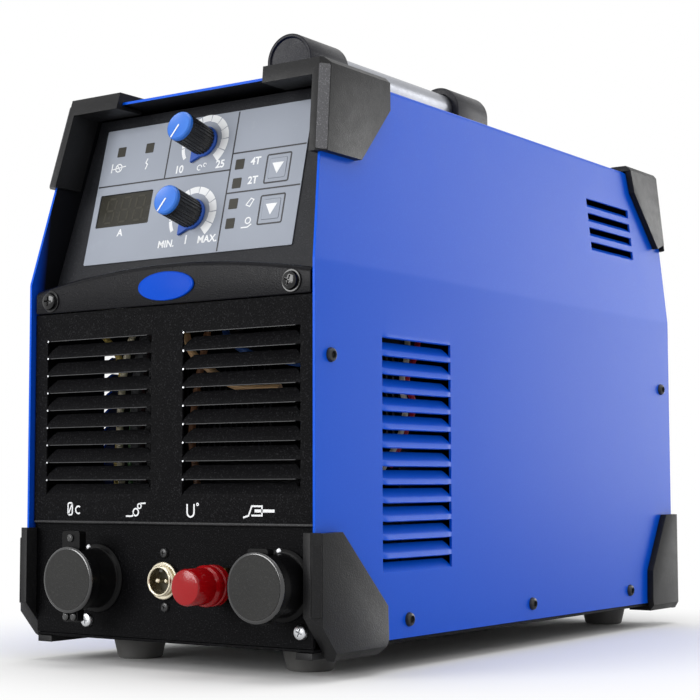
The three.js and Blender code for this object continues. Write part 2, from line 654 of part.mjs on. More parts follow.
function fanRotor() {
  const { rotor: radius, rotorDepth: depth, hub, blades } = FAN;
  const root = hub - 3;
  const pitchAngle = THREE.MathUtils.degToRad(38);
  const blade = (i) =>
    new THREE.BoxGeometry(radius - root, 27, 1.8)
      .rotateX(pitchAngle)
      .translate((radius + root) / 2, 0, depth / 2)
      .rotateZ((i / blades) * Math.PI * 2);
  let rotor = solid(disc(hub, 0, depth));
  for (let i = 0; i < blades; i++) rotor = rotor.add(solid(blade(i)));
  rotor = rotor.intersect(solid(disc(radius, 0, depth, 40)));
  rotor = rotor.subtract(solid(disc(FAN_AXLE + 0.4, -1, 12, 14)));
  const mesh = meshOf("fan_rotor", rotor, BLACK_PLASTIC);
  mesh.position.set(0, FAN_FRONT + 8, FAN.z);
  mesh.rotation.x = -Math.PI / 2;
  return mesh;
}

function fanGuard() {
  const { wire, rings, hub } = GUARD;
  const reach = Math.max(...rings);
  const hoops = rings.map((r) => solid(new THREE.TorusGeometry(r, wire, 4, 28)));
  const spoke = (turn) => solid(box(-reach, reach, -wire, wire, -wire * 0.8, wire * 0.8).rotateZ(turn));
  const centre = solid(disc(hub, -1, 1, 20));
  const guard = joinAll([...hoops, spoke(Math.PI / 4), spoke((3 * Math.PI) / 4), centre]);
  const mesh = meshOf("fan_guard", guard, STEEL);
  mesh.position.set(0, REAR_FACE + GAP + wire, FAN.z);
  mesh.rotation.x = -Math.PI / 2;
  return mesh;
}

function switchHousing() {
  const { x, z, width, height } = SWITCH;
  const block = (inset, y0, y1) => {
    const [w, h] = [width / 2 - inset, height / 2 - inset];
    return solid(box(x - w, x + w, REAR_FACE + y0, REAR_FACE + y1, z - h, z + h));
  };
  const housing = block(0, GAP, 2.3).add(block(2, -22, 1)).subtract(block(3.5, -10, 3));
  return meshOf("switch_housing", housing, BLACK_PLASTIC);
}

function switchRocker() {
  const half = SWITCH.height / 2 - 4.6;
  const width = SWITCH.width / 2 - 4;
  const profile = [[-5, -half * 0.55], [-5, half * 0.55], [3, half], [1, 0], [3, -half]];
  const mesh = meshOf("switch_rocker", alongX(profile, -width, width), BLACK_PLASTIC);
  mesh.position.set(SWITCH.x, REAR_FACE, SWITCH.z);
  mesh.rotation.x = SWITCH.tilt;
  return mesh;
}

function cableGland() {
  const { x, z, hex, out } = GLAND;
  const gland = join(
    turned([[0, 0], [hex, 0], [hex, 6], [0, 6]], 6),
    turned([[0, 5.5], [10.4, 5.5], [10.4, 14], [8.6, out], [0, out]], 24),
    disc(7.8, -10, 1, 24),
    turned([[0, -9], [12, -9], [12, -SHEET - 0.8], [0, -SHEET - 0.8]], 6),
  );
  const bored = gland.subtract(solid(disc(5.6, -12, out + 1, 20)));
  return meshOf("cable_gland", toBack(geometryOf(bored), x, REAR_FACE + GAP, z), BLACK_PLASTIC);
}

function gasInlet() {
  const { x, z, barb, inside, length } = INLET;
  const ridges = [0, 1, 2].flatMap((i) => [[barb, 14 + i * 5], [barb - 1, 18.9 + i * 5]]);
  const inlet = join(
    turned([[0, 0], [9.5, 0], [9.5, 7], [0, 7]], 6),
    turned([[0, 6], [4, 6], [4, 14], ...ridges, [0, length]], 20),
    disc(6, -inside, 1, 20),
    turned([[0, -8], [9, -8], [9, -SHEET - 0.8], [0, -SHEET - 0.8]], 6),
  );
  const bored = inlet.subtract(solid(disc(1.8, -inside - 1, 32, 12)));
  return meshOf("gas_inlet", toBack(geometryOf(bored), x, REAR_FACE + GAP, z), BRASS);
}

// ---- Inside ----
const VALVE_FRONT = REAR_FACE - INLET.inside - VALVE.depth;

function solenoidValve() {
  const { x, z } = INLET;
  const { depth, body, coil, coilTop } = VALVE;
  const valve = join(
    box(x - body, x + body, VALVE_FRONT, VALVE_FRONT + depth, z - coil, z + coil),
    box(x - coil, x + coil, VALVE_FRONT + 2, VALVE_FRONT + depth - 2, z + coil - 1, z + coilTop),
  );
  return meshOf("solenoid_valve", valve, BRASS);
}

// The hose from the valve's front face forward along the pan, then across to the torch connector.
function gasHose() {
  const start = VALVE_FRONT - GAP;
  const end = PANEL_FACE + TORCH.tail;
  const wayPoints = [
    [INLET.x, start, INLET.z], [INLET.x, start - 12, INLET.z],
    [-94, 352, 24], [-95, 300, 14], [-95, 150, 14], [-92, 112, 15], [-70, 84, 18], [0, 66, 22], [30, 50, 28],
    [TORCH.x, end + 14, TORCH.z], [TORCH.x, end, TORCH.z],
  ].map((point) => new THREE.Vector3(...point));
  const extrudePath = new THREE.CatmullRomCurve3(wayPoints, false, "centripetal");
  const round = new THREE.Shape().absarc(0, 0, HOSE.radius, 0, Math.PI * 2);
  const options = { steps: HOSE.steps, extrudePath, bevelEnabled: false, curveSegments: 4 };
  return meshOf("gas_hose", new THREE.ExtrudeGeometry(round, options), RUBBER);
}

// One of the finned blocks under the power board; its outermost fin runs on down to the pan.
function heatsink(name, side) {
  const { inner, outer, from, to, top, base, tips, fins, fin } = HEATSINK;
  const pitch = (outer - inner - fin) / (fins - 1);
  const comb = [[inner, top]];
  for (let i = 0; i < fins; i++) {
    const left = inner + i * pitch;
    const tip = i < fins - 1 ? tips : 0;
    if (i > 0) comb.push([left, base]);
    comb.push([left, tip], [left + fin, tip]);
    if (i < fins - 1) comb.push([left + fin, base]);
  }
  comb.push([outer, top]);
  return meshOf(name, alongY(comb.map(([x, z]) => [side * x, z]), from, to), ALUMINIUM);
}

function powerBoard() {
  const { half, from, to, bottom, top } = POWER_BOARD;
  return meshOf("power_board", box(-half, half, from, to, bottom, top), BOARD);
}

function capacitor(name, x) {
  const { radius, height, y } = CAPACITOR;
  const can = turned([[0, 0], [radius, 0], [radius, height - 1.5], [radius - 1.5, height], [0, height]]);
  return meshOf(name, can.translate(x, y, POWER_BOARD.top + GAP), SMOKED);
}

function rectifier() {
  const { from, to, front, back, height } = RECTIFIER;
  const z = POWER_BOARD.top + GAP;
  return meshOf("rectifier", box(from, to, front, back, z, z + height), FERRITE);
}

// A shell-type transformer: two yokes, three limbs and the winding round the middle one.
function transformer() {
  const { half, height, front, back, yoke, winding, bulge } = TRANSFORMER;
  const frame = box(-half, half, front, back, 0, height);
  const windows = [1, -1].map((side) => {
    const [x0, x1] = [side * yoke, side * (half - yoke)].sort((a, b) => a - b);
    return solid(box(x0, x1, front - 1, back + 1, yoke, height - yoke));
  });
  const core = solid(frame).subtract(joinAll(windows));
  const coil = box(-winding, winding, front - bulge, back + bulge, yoke + 2, height - yoke - 2);
  return meshOf("transformer", core.add(solid(coil)), FERRITE);
}

function outputChoke() {
  const { inner, outer, height, x, y } = CHOKE;
  const ring = turned([[inner, 0], [outer, 0], [outer, height], [inner, height], [inner, 0]], 32);
  return meshOf("output_choke", ring.translate(x, y, 0), COPPER);
}

// ---- The whole unit ----
const FRONT_MOST = PANEL_FACE - GAP - TORCH_CAP.length;
const REAR_MOST = REAR_FACE + GAP + INLET.length;

const unit = new THREE.Group();
unit.position.set(0, -(FRONT_MOST + REAR_MOST) / 2, -FOOT.floor);
unit.add(
  cover(),
  basePan(),
  connectorPanel(),
  grillePanel(),
  bezel(),
  badge(),
  bezelScrew("bezel_screw_left", -SCREW.x),
  bezelScrew("bezel_screw_right", SCREW.x),
  rearPanel(),
  ...Object.keys(BUMPERS).flatMap(bumperPair),
  handleBar(),
  handleBlock("handle_block_front", HANDLE.front, HANDLE.front + HANDLE.block, true),
  handleBlock("handle_block_rear", HANDLE.rear - HANDLE.block, HANDLE.rear, false),
  foot("foot_front_left", -FOOT.x, FOOT.front),
  foot("foot_front_right", FOOT.x, FOOT.front),
  foot("foot_rear_left", -FOOT.x, FOOT.rear),
  foot("foot_rear_right", FOOT.x, FOOT.rear),
  socket("socket_left", SOCKET.left),
  socket("socket_right", SOCKET.right),
  socketCap("socket_cap_left", SOCKET.left),
  socketCap("socket_cap_right", SOCKET.right),
  signalSocket(),
  torchConnector(),
  torchCap(),
  fascia(),
  fanFrame(),
  fanRotor(),
  fanGuard(),
  switchHousing(),
  switchRocker(),
  cableGland(),
  gasInlet(),
  solenoidValve(),
  gasHose(),
  powerBoard(),
  heatsink("heatsink_left", -1),
  heatsink("heatsink_right", 1),
  capacitor("capacitor_left", CAPACITOR.left),
  capacitor("capacitor_right", CAPACITOR.right),
  rectifier(),
  transformer(),
  outputChoke(),
);

export default unit;
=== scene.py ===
# A portable plasma cutter unit on a pale studio floor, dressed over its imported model.
# Sizes are millimetres from the cover's front lower edge: x across, y back, z up.
import json
import math

import bmesh
import bpy
from mathutils import Matrix, Vector

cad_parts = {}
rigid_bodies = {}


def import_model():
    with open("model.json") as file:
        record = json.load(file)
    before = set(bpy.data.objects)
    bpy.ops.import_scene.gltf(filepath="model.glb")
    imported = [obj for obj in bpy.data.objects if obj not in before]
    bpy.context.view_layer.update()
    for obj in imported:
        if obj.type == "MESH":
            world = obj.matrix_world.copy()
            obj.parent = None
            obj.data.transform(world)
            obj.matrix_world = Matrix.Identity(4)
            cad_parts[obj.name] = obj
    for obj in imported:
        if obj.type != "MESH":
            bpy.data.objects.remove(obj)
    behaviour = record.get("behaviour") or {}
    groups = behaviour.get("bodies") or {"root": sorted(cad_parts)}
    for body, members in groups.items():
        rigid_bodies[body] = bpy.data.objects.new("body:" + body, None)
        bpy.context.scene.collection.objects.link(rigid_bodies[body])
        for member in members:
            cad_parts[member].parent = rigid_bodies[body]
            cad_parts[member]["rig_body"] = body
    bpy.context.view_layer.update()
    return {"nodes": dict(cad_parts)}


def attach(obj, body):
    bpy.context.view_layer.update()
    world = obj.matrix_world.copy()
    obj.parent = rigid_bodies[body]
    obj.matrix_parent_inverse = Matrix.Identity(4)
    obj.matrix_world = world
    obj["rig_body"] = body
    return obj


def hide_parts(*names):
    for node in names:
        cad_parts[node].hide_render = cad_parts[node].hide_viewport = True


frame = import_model()
scene = bpy.context.scene

# ---- Camera, floor and light ----
# The camera stands low at the unit's front right with a long lens and looks slightly up. The floor is
# one pale sheet, white further off. One soft box hangs above, two stand in front and two behind.
camera = bpy.data.objects.new("camera", bpy.data.cameras.new("camera"))
camera.data.sensor_width = 36
camera.data.lens = 85.56
camera.location = (0.643546, -0.970709, 0.109052)
camera.rotation_euler = [math.radians(turn) for turn in (94.5349, 0.1532, 34.7015)]
scene.collection.objects.link(camera)
scene.camera = camera
scene.view_settings.view_transform = "Standard"


class Wire:
    """A node's output. A sum on it adds a math node to its tree."""

    def __init__(self, socket):
        self.socket = socket

    def __add__(self, other):
        return reckon(self.socket.id_data, "ADD", self, other)

    def __sub__(self, other):
        return reckon(self.socket.id_data, "SUBTRACT", self, other)

    def __rsub__(self, other):
        return reckon(self.socket.id_data, "SUBTRACT", other, self)

    def __mul__(self, other):
        return reckon(self.socket.id_data, "MULTIPLY", self, other)

    def __truediv__(self, other):
        return reckon(self.socket.id_data, "DIVIDE", self, other)

    def __rtruediv__(self, other):
        return reckon(self.socket.id_data, "DIVIDE", other, self)


def feed(place, source):
    """Gives an input a value, or links a wire to it."""
    if isinstance(source, Wire):
        place.id_data.links.new(source.socket, place)
    else:
        place.default_value = source


def made(tree, kind, wires, out=0, **settings):
    """Adds a node, feeds its inputs and gives one of its outputs."""
    node = tree.nodes.new(kind)
    for name, value in settings.items():
        setattr(node, name, value)
    for place, source in wires.items():
        feed(node.inputs[place], source)
    return Wire(node.outputs[out])


def reckon(tree, operation, a, b=0.0, **settings):
    return made(tree, "ShaderNodeMath", {0: a, 1: b}, operation=operation, **settings)


def blend(tree, share, first, second):
    """A colour between two others."""
    return made(tree, "ShaderNodeMix", {0: share, 6: first, 7: second}, 2, data_type="RGBA")


def ramp(tree, value, low, high, to_low=0.0, to_high=1.0, **settings):
    """Spreads low to high over to_low to to_high."""
    wires = {0: value, 1: low, 2: high, 3: to_low, 4: to_high}
    return made(tree, "ShaderNodeMapRange", wires, **settings)


def looked_at(tree):
    """1 where the camera looks, straight or by way of gloss or clear plastic, and 0 elsewhere."""
    kinds = ("Is Camera Ray", "Is Glossy Ray", "Is Transmission Ray")
    straight, mirrored, through = [made(tree, "ShaderNodeLightPath", {}, kind) for kind in kinds]
    return reckon(tree, "MAXIMUM", reckon(tree, "MAXIMUM", straight, mirrored), through)


def paint(red, green, blue):
    """A colour as it is seen, 0 to 255, on the shader's own scale."""
    parts = [part / 255 for part in (red, green, blue)]
    return (*[p / 12.92 if p <= 0.04045 else ((p + 0.055) / 1.055) ** 2.4 for p in parts], 1)


def soft_box(name, place, aim, size, watts):
    lamp = bpy.data.objects.new(name, bpy.data.lights.new(name, "AREA"))
    lamp.data.shape = "RECTANGLE"
    lamp.data.size, lamp.data.size_y = size
    lamp.data.energy = watts
    lamp.location = place
    lamp.rotation_euler = (Vector(aim) - Vector(place)).to_track_quat("-Z", "Y").to_euler()
    scene.collection.objects.link(lamp)


soft_box("soft_box_above", (0.2, 0.1, 2.1), (0, 0, 0.2), (2.0, 1.6), 20)
soft_box("soft_box_left", (-1.1, -2.6, 0.9), (0, 0, 0.15), (1.4, 1.2), 48)
soft_box("soft_box_right", (2.0, -1.45, 1.4), (0.1, -0.2, 0.3), (0.5, 0.5), 4)
soft_box("soft_box_behind", (0.9, 2.6, 0.5), (0.1, 0.1, 0.2), (1.3, 1.1), 16)
soft_box("soft_box_high", (1.45, 2.4, 1.35), (0.1, 0.0, 0.2), (0.8, 0.6), 6)

scene.world = bpy.data.worlds.new("studio")
scene.world.use_nodes = True
room = scene.world.node_tree
feed(room.nodes["Background"].inputs["Color"], (1, 1, 1, 1))
feed(room.nodes["Background"].inputs["Strength"], ramp(room, looked_at(room), 0, 1, 0.5, 1.0))

FLOOR_HALF = 9
FLOOR_FADE = (0.2, 0.4)
floor_corners = [(x * FLOOR_HALF, y * FLOOR_HALF, 0) for x, y in ((-1, -1), (1, -1), (1, 1), (-1, 1))]
floor_sheet = bpy.data.meshes.new("floor")
floor_sheet.from_pydata(floor_corners, [], [(0, 1, 2, 3)])
floor = bpy.data.objects.new("floor", floor_sheet)
scene.collection.objects.link(floor)
floor_paint = bpy.data.materials.new("floor_paint")
floor_paint.use_nodes = True
wash = floor_paint.node_tree
near_floor = wash.nodes["Principled BSDF"]
place = made(wash, "ShaderNodeTexCoord", {}, "Object")
cloud = made(wash, "ShaderNodeTexNoise", {"Vector": place, "Scale": 0.7, "Detail": 3})
pale = blend(wash, cloud, (0.9, 0.9, 0.9, 1), (0.93, 0.93, 0.93, 1))
by_eye = made(wash, "ShaderNodeLightPath", {}, "Is Camera Ray")
feed(near_floor.inputs["Base Color"], blend(wash, by_eye, (0.7, 0.7, 0.7, 1), pale))
feed(near_floor.inputs["Roughness"], 0.75)
feed(near_floor.inputs["Specular IOR Level"], 0.1)
far_floor = made(wash, "ShaderNodeEmission", {"Color": (1, 1, 1, 1), "Strength": 1.0})
distance = made(wash, "ShaderNodeVectorMath", {0: place}, "Value", operation="LENGTH")
share = ramp(wash, distance, *FLOOR_FADE, interpolation_type="SMOOTHSTEP") * looked_at(wash)
floor_mix = made(wash, "ShaderNodeMixShader", {0: share, 1: Wire(near_floor.outputs[0]), 2: far_floor})
feed(wash.nodes["Material Output"].inputs["Surface"], floor_mix)
floor_sheet.materials.append(floor_paint)

# ---- Base pan and feet ----
# A folded steel pan in fine textured black closes the case from below. Under it stand four tapered
# rubber feet, each held by a screw in the middle of its sole.
MM = 0.001
COVER_EDGE = Vector((0, -233.6, 18))


def seat(x, y, z, out=(0, -1, 0), up=(0, 0, 1)):
    """Carries a piece made in millimetres, with z out of what it sits on, to its place on the unit."""
    out, up = Vector(out).normalized(), Vector(up).normalized()
    turn = Matrix((up.cross(out), up, out)).transposed().to_4x4()
    return Matrix.Scale(MM, 4) @ Matrix.Translation(COVER_EDGE + Vector((x, y, z))) @ turn


FRONT, BACK, RIGHT, LEFT = (0, -1, 0), (0, 1, 0), (1, 0, 0), (-1, 0, 0)
UP, DOWN = (0, 0, 1), (0, 0, -1)
RUB_PEAKS, GRAIN_PEAKS = (0.6, 0.78), (0.56, 0.74)


def finish(name, tones, rough, grain, patches=14, scuff=0.15, painted_sparkle=0.0, spec=0.5, metallic=0.0,
           clear=0.0, along=(1, 1, 1)):
    """Two close tones that drift in patches, a roughness that drifts with them, pale scuffs here and
    there, and a raised grain given as (size, height) in millimetres, drawn out where along is small.
    The tops of the grain are painted paler by painted_sparkle: a painted highlight that stands in for
    glints of light on the grain."""
    material = bpy.data.materials.new(name)
    material.use_nodes = True
    tree = material.node_tree
    place = made(tree, "ShaderNodeTexCoord", {}, "Object")
    drift = made(tree, "ShaderNodeTexNoise", {"Vector": place, "Scale": patches, "Detail": 5})
    base = blend(tree, drift, paint(*tones[0]), paint(*tones[1]))
    fine = {"Vector": place, "Scale": patches * 9, "Detail": 8, "Roughness": 0.7}
    rub = made(tree, "ShaderNodeTexNoise", fine)
    size, height = grain
    drawn = made(tree, "ShaderNodeVectorMath", {0: place, 1: along}, operation="MULTIPLY")
    bumps = made(tree, "ShaderNodeTexNoise", {"Vector": drawn, "Scale": 1 / (size * MM), "Detail": 2})
    worn = ramp(tree, rub, *RUB_PEAKS, 0.0, scuff)
    # worn adds real pale scuffs; the grain tops are painted paler as a painted highlight for glints of
    # light
    lifted = reckon(tree, "ADD", worn, ramp(tree, bumps, *GRAIN_PEAKS, 0.0, painted_sparkle), use_clamp=True)
    pale = [min(255, 40 + 1.25 * part) for part in tones[1]]
    values = {
        "Base Color": blend(tree, lifted, base, paint(*pale)),
        "Roughness": ramp(tree, rub, 0.3, 0.7, *rough),
        "Normal": made(tree, "ShaderNodeBump", {"Strength": 1.0, "Distance": height * MM, "Height": bumps}),
        "Metallic": metallic,
        "Specular IOR Level": spec,
        "Transmission Weight": clear,
    }
    for socket, value in values.items():
        feed(tree.nodes["Principled BSDF"].inputs[socket], value)
    return material


def new_piece(name, bm):
    mesh = bpy.data.meshes.new(name)
    bm.to_mesh(mesh)
    bm.free()
    piece = bpy.data.objects.new(name, mesh)
    scene.collection.objects.link(piece)
    return piece


CREASE = 35


def fit(piece, material, body, slot, *nodes):
    """Gives a made piece its finish, its body and the solids that it stands for. The slot is not used."""
    piece.data.materials.clear()
    piece.data.materials.append(material)
    piece.data.shade_smooth()
    if not piece.modifiers:
        piece.data.set_sharp_from_angle(angle=math.radians(CREASE))
    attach(piece, body)
    if nodes:
        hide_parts(*nodes)
    return piece


def round_edges(piece, radius, limit=32, rounds=2):
    bevel = piece.modifiers.new("rounded", "BEVEL")
    bevel.width = radius * MM
    bevel.segments = rounds
    bevel.limit_method = "ANGLE"
    bevel.angle_limit = math.radians(limit)
    bevel.harden_normals = True
    return piece


def keep(node, material):
    """A solid whose own shape shows gets its finish."""
    for slot in frame["nodes"][node].material_slots:
        slot.material = material


def softened(node, radius, material, slot, rounds=2, limit=28):
    """A solid's own shape with its triangles merged into faces and its edges rounded."""
    solid = frame["nodes"][node]
    bm = bmesh.new()
    bm.from_mesh(solid.data)
    bmesh.ops.remove_doubles(bm, verts=bm.verts, dist=0.01 * MM)
    flat = math.radians(0.5)
    bmesh.ops.dissolve_limit(bm, angle_limit=flat, verts=bm.verts, edges=bm.edges)
    piece = round_edges(new_piece(node + "_dressed", bm), radius, limit, rounds)
    return fit(piece, material, solid["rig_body"], slot, node)


def turned(bm, profile, seat_on, steps=48):
    """A turned shape from (radius, height) pairs; a pair with radius 0 closes it."""
    rings = []
    turns = [2 * math.pi * i / steps for i in range(steps)]
    for radius, height in profile:
        spots = [(radius * math.cos(a), radius * math.sin(a), height) for a in turns]
        rings.append([bm.verts.new(seat_on @ Vector(spot)) for spot in (spots if radius else spots[:1])])
    for low, high in zip(rings, rings[1:]):
        for i in range(steps):
            j = (i + 1) % steps
            ends = [low[i % len(low)], low[j % len(low)], high[j % len(high)], high[i % len(high)]]
            corners = list(dict.fromkeys(ends))
            if len(corners) > 2:
                bm.faces.new(corners)
    bmesh.ops.recalc_face_normals(bm, faces=bm.faces)


def build(name, shapes, material, body, slot, *nodes, edge=0.0, limit=32, rounds=2):
    """A piece of one or more shapes, each given as a function and its values, its edges rounded by edge."""
    bm = bmesh.new()
    for shape_of, *values in shapes:
        shape_of(bm, *values)
    piece = new_piece(name, bm)
    if edge:
        round_edges(piece, edge, limit, rounds)
    return fit(piece, material, body, slot, *nodes)


textured_black = finish(
    "textured_black", [(9, 9, 10), (14, 14, 16)], (0.4, 0.56), (0.9, 0.26),
    patches=20, scuff=0.06, painted_sparkle=0.5, spec=0.03)
foot_rubber = finish(
    "foot_rubber", [(92, 92, 91), (106, 105, 103)], (0.6, 0.75), (1.6, 0.15),
    patches=40, scuff=0.3, spec=0.4)
zinc = finish(
    "zinc", [(190, 192, 196), (214, 215, 217)], (0.22, 0.4), (0.8, 0.02),
    metallic=1.0, patches=90)

FOOT_PROFILE = [
    (0, 0), (17.4, 0), (14.1, 13.6), (13.8, 14.8), (12.9, 15.7), (6.8, 15.7), (6, 14.9), (6, 9), (0, 9)]
FOOT_SCREW = [(0, 8.9), (5.6, 8.9), (5.6, 10), (3.6, 10), (3.4, 11.6), (2.4, 12.4), (0, 12.4)]
softened("base_pan", 0.4, textured_black, "case_black")
for end, y in (("front", 56), ("rear", 440)):
    for side, x in (("left", -66), ("right", 66)):
        sole = seat(x, y, -2.3, DOWN, (0, 1, 0))
        name = f"foot_{end}_{side}"
        foot = [(turned, FOOT_PROFILE, sole)]
        build(name + "_dressed", foot, foot_rubber, "case", "rubber_black", name, edge=0.4)
        build(name + "_screw", [(turned, FOOT_SCREW, sole, 24)], zinc, "case", "steel", edge=0.2)

# ---- Cover ----
# One sheet of steel folded over the case: upright sides with a knee crease, leaning in above it, and a
# flat top. A bank of louvres and four slots are pressed in each side. It is powder coated satin blue.
HALF, LENGTH, HEIGHT, KNEE = 110, 470.6, 328.2, 214.3
LEAN_IN, SET_BACK = 12.2, 26.1
CORNER_DEEP, CORNER_TALL = 14.6, 16.7
SIDE_BANK = dict(Length=76.5, Pitch=10.7, Height=8.1, Depth=4.8, Taper=3.4, Open=2.4, Bulge=1.0, Count=13)
SIDE_FROM, SIDE_LOWEST = 66.5, 38.8
SLOT_BANK = dict(Length=70.0, Pitch=10.75, Height=6.5, Depth=3.6, Taper=0.8, Open=3.4, Bulge=0.0, Count=4)
SLOT_FROM, SLOT_LOWEST = 350, 258.6
BANK_STEPS, SCOOP_STEPS = 60, 6
# Where the painted shade inside the cover starts and where it is full, in metres along y.
SHADE_STARTS, SHADE_FULL = -0.231, -0.222

blue_coat = finish(
    "blue_coat", [(0, 82, 211), (3, 88, 217)], (0.31, 0.35), (1.1, 0.02),
    patches=6, scuff=0.02, painted_sparkle=0.09, spec=0.12)
# Painted shade: the sheet's inner faces take a slightly darker blue than its outside, which turns
# near-black deeper into the case, where shade falls.
inner_shaded_coat = finish(
    "inner_shaded_coat", [(2, 68, 190), (6, 74, 198)], (0.4, 0.5), (1.1, 0.02),
    patches=12, scuff=0.03, spec=0.1)
inside = inner_shaded_coat.node_tree
inside_colour = inside.nodes["Principled BSDF"].inputs["Base Color"]
place = made(inside, "ShaderNodeTexCoord", {}, "Object")
depth_in = made(inside, "ShaderNodeSeparateXYZ", {0: place}, "Y")
deep_shade = ramp(inside, depth_in, SHADE_STARTS, SHADE_FULL)
feed(inside_colour, blend(inside, deep_shade, Wire(inside_colour.links[0].from_socket), paint(15, 16, 20)))


def start_tree(name, **inputs):
    """A node tree for shapes and its inputs by name, one for each value given and one for a finish."""
    tree = bpy.data.node_groups.new(name, "GeometryNodeTree")
    tree.interface.new_socket("Geometry", in_out="INPUT", socket_type="NodeSocketGeometry")
    for label, value in {**inputs, "Finish": "Material"}.items():
        kind = {float: "Float", int: "Int", bool: "Bool"}.get(type(value), value)
        socket = tree.interface.new_socket(label, in_out="INPUT", socket_type="NodeSocket" + kind)
        if kind != value:
            socket.default_value = value
    tree.interface.new_socket("Geometry", in_out="OUTPUT", socket_type="NodeSocketGeometry")
    outlets = tree.nodes.new("NodeGroupInput").outputs
    return tree, {outlet.name: Wire(outlet) for outlet in outlets if outlet.name}


def shape(tree, kind, wires, out=0, **settings):
    return made(tree, "GeometryNode" + kind, wires, out, **settings)


def vector(tree, x=0.0, y=0.0, z=0.0):
    return made(tree, "ShaderNodeCombineXYZ", {0: x, 1: y, 2: z})


def joined(tree, shapes):
    join = tree.nodes.new("GeometryNodeJoinGeometry")
    for part in shapes:
        feed(join.inputs[0], part)
    return Wire(join.outputs[0])


def end_tree(tree, shapes, given):
    """Joins the shapes, makes instances real and sets the finish."""
    real = shape(tree, "RealizeInstances", {0: joined(tree, shapes)})
    merged = shape(tree, "MergeByDistance", {0: real, "Distance": 0.004})
    painted = shape(tree, "SetMaterial", {0: merged, "Material": given["Finish"]})
    feed(tree.nodes.new("NodeGroupOutput").inputs[0], painted)


def grown(tree, points=(), **values):
    """Runs a tree on loose points and returns the plain mesh that it makes, in millimetres."""
    carrier = bpy.data.objects.new("carrier", bpy.data.meshes.new("carrier"))
    carrier.data.from_pydata(points, [], [])
    scene.collection.objects.link(carrier)
    modifier = carrier.modifiers.new("tree", "NODES")
    modifier.node_group = tree
    for item in tree.interface.items_tree:
        if item.item_type == "SOCKET" and item.in_out == "INPUT" and item.name in values:
            modifier[item.identifier] = values[item.name]
    depsgraph = bpy.context.evaluated_depsgraph_get()
    mesh = bpy.data.meshes.new_from_object(carrier.evaluated_get(depsgraph), depsgraph=depsgraph)
    bpy.data.objects.remove(carrier)
    return mesh


louvres, given = start_tree("pressed_louvres", **SIDE_BANK)
length, pitch, height = given["Length"], given["Pitch"], given["Height"]
half_length = length * 0.5
position = shape(louvres, "InputPosition", {})
at_x, at_y = [made(louvres, "ShaderNodeSeparateXYZ", {0: position}, axis) for axis in "XY"]
flap = shape(louvres, "MeshGrid", {0: length, 1: height, 2: BANK_STEPS + 1, 3: SCOOP_STEPS + 1})
risen = at_y / height + 0.5
drawn_in = reckon(louvres, "POWER", risen, 2.0) * given["Taper"]
flap_at = vector(
    louvres, half_length - at_x / half_length * drawn_in, height * 0.5 - given["Open"] * risen,
    risen * given["Depth"] * -1.0)
bent = shape(louvres, "SetPosition", {0: flap, "Offset": flap_at})
gap = pitch - height
strip = shape(louvres, "MeshGrid", {0: length, 1: gap, 2: BANK_STEPS + 1, 3: 2})
lowered = 0.5 - at_y / gap
from_end = half_length - reckon(louvres, "ABSOLUTE", at_x)
swell = ramp(louvres, from_end, 0.0, 5.0, interpolation_type="SMOOTHSTEP")
strip_at = vector(louvres, half_length, height + gap * 0.5, lowered * swell * given["Bulge"])
swelled = shape(louvres, "SetPosition", {0: strip, "Offset": strip_at})
rows = shape(louvres, "MeshLine", {"Count": given["Count"], "Offset": vector(louvres, y=pitch)})
stack = shape(louvres, "InstanceOnPoints", {0: rows, "Instance": joined(louvres, [bent, swelled])})
end_tree(louvres, [stack], given)


def bank_lines(start, bank):
    return [start + bank["Length"] * i / BANK_STEPS for i in range(BANK_STEPS + 1)]


def row_lines(lowest, bank):
    """The heights at which a bank's flaps and strips meet."""
    starts = [lowest + bank["Pitch"] * k for k in range(bank["Count"] + 1)]
    return sum([[low, low + bank["Height"]] for low in starts[:-1]], []) + starts[-1:]


def laid_sheet(across, along, place, is_open):
    """A sheet laid out on crossing lines, without the cells that is_open names."""
    bm = bmesh.new()
    corners = {}
    for i in range(len(across) - 1):
        for j in range(len(along) - 1):
            if is_open(i, j):
                continue
            cell = []
            for key in ((i, j), (i + 1, j), (i + 1, j + 1), (i, j + 1)):
                if key not in corners:
                    corners[key] = bm.verts.new(place(across[key[0]], along[key[1]]))
                cell.append(corners[key])
            bm.faces.new(cell)
    return bm


def weld_bank(bm, tree_mesh, seat_on):
    """Sets a bank of louvres into the opening left for it."""
    tree_mesh.transform(seat_on)
    bm.from_mesh(tree_mesh)
    bmesh.ops.remove_doubles(bm, verts=bm.verts, dist=0.01 * MM)


def give_thickness(piece, thickness, inside, edge=0.25):
    """Turns a laid sheet into sheet metal: wall inward, edges eased, flats kept flat."""
    piece.data.materials.append(inside)
    wall = piece.modifiers.new("wall", "SOLIDIFY")
    wall.material_offset = 1
    wall.thickness = thickness * MM
    wall.offset = -1
    wall.use_even_offset = True
    bevel = piece.modifiers.new("rounded", "BEVEL")
    bevel.width = edge * MM
    bevel.segments = 2
    bevel.limit_method = "ANGLE"
    bevel.angle_limit = math.radians(50)
    level = piece.modifiers.new("level", "WEIGHTED_NORMAL")
    level.keep_sharp = True


def fillet(a, corner, b, radius, steps=5):
    """Points of the round between two straight lines that meet at corner."""
    a, corner, b = Vector(a), Vector(corner), Vector(b)
    into, out = (a - corner).normalized(), (b - corner).normalized()
    half_angle = into.angle(out) / 2
    run = radius / math.tan(half_angle)
    centre = corner + (into + out).normalized() * (radius / math.sin(half_angle))
    start = (corner + into * run - centre).normalized()
    end = (corner + out * run - centre).normalized()
    return [tuple(centre + radius * start.slerp(end, i / steps)) for i in range(steps + 1)]


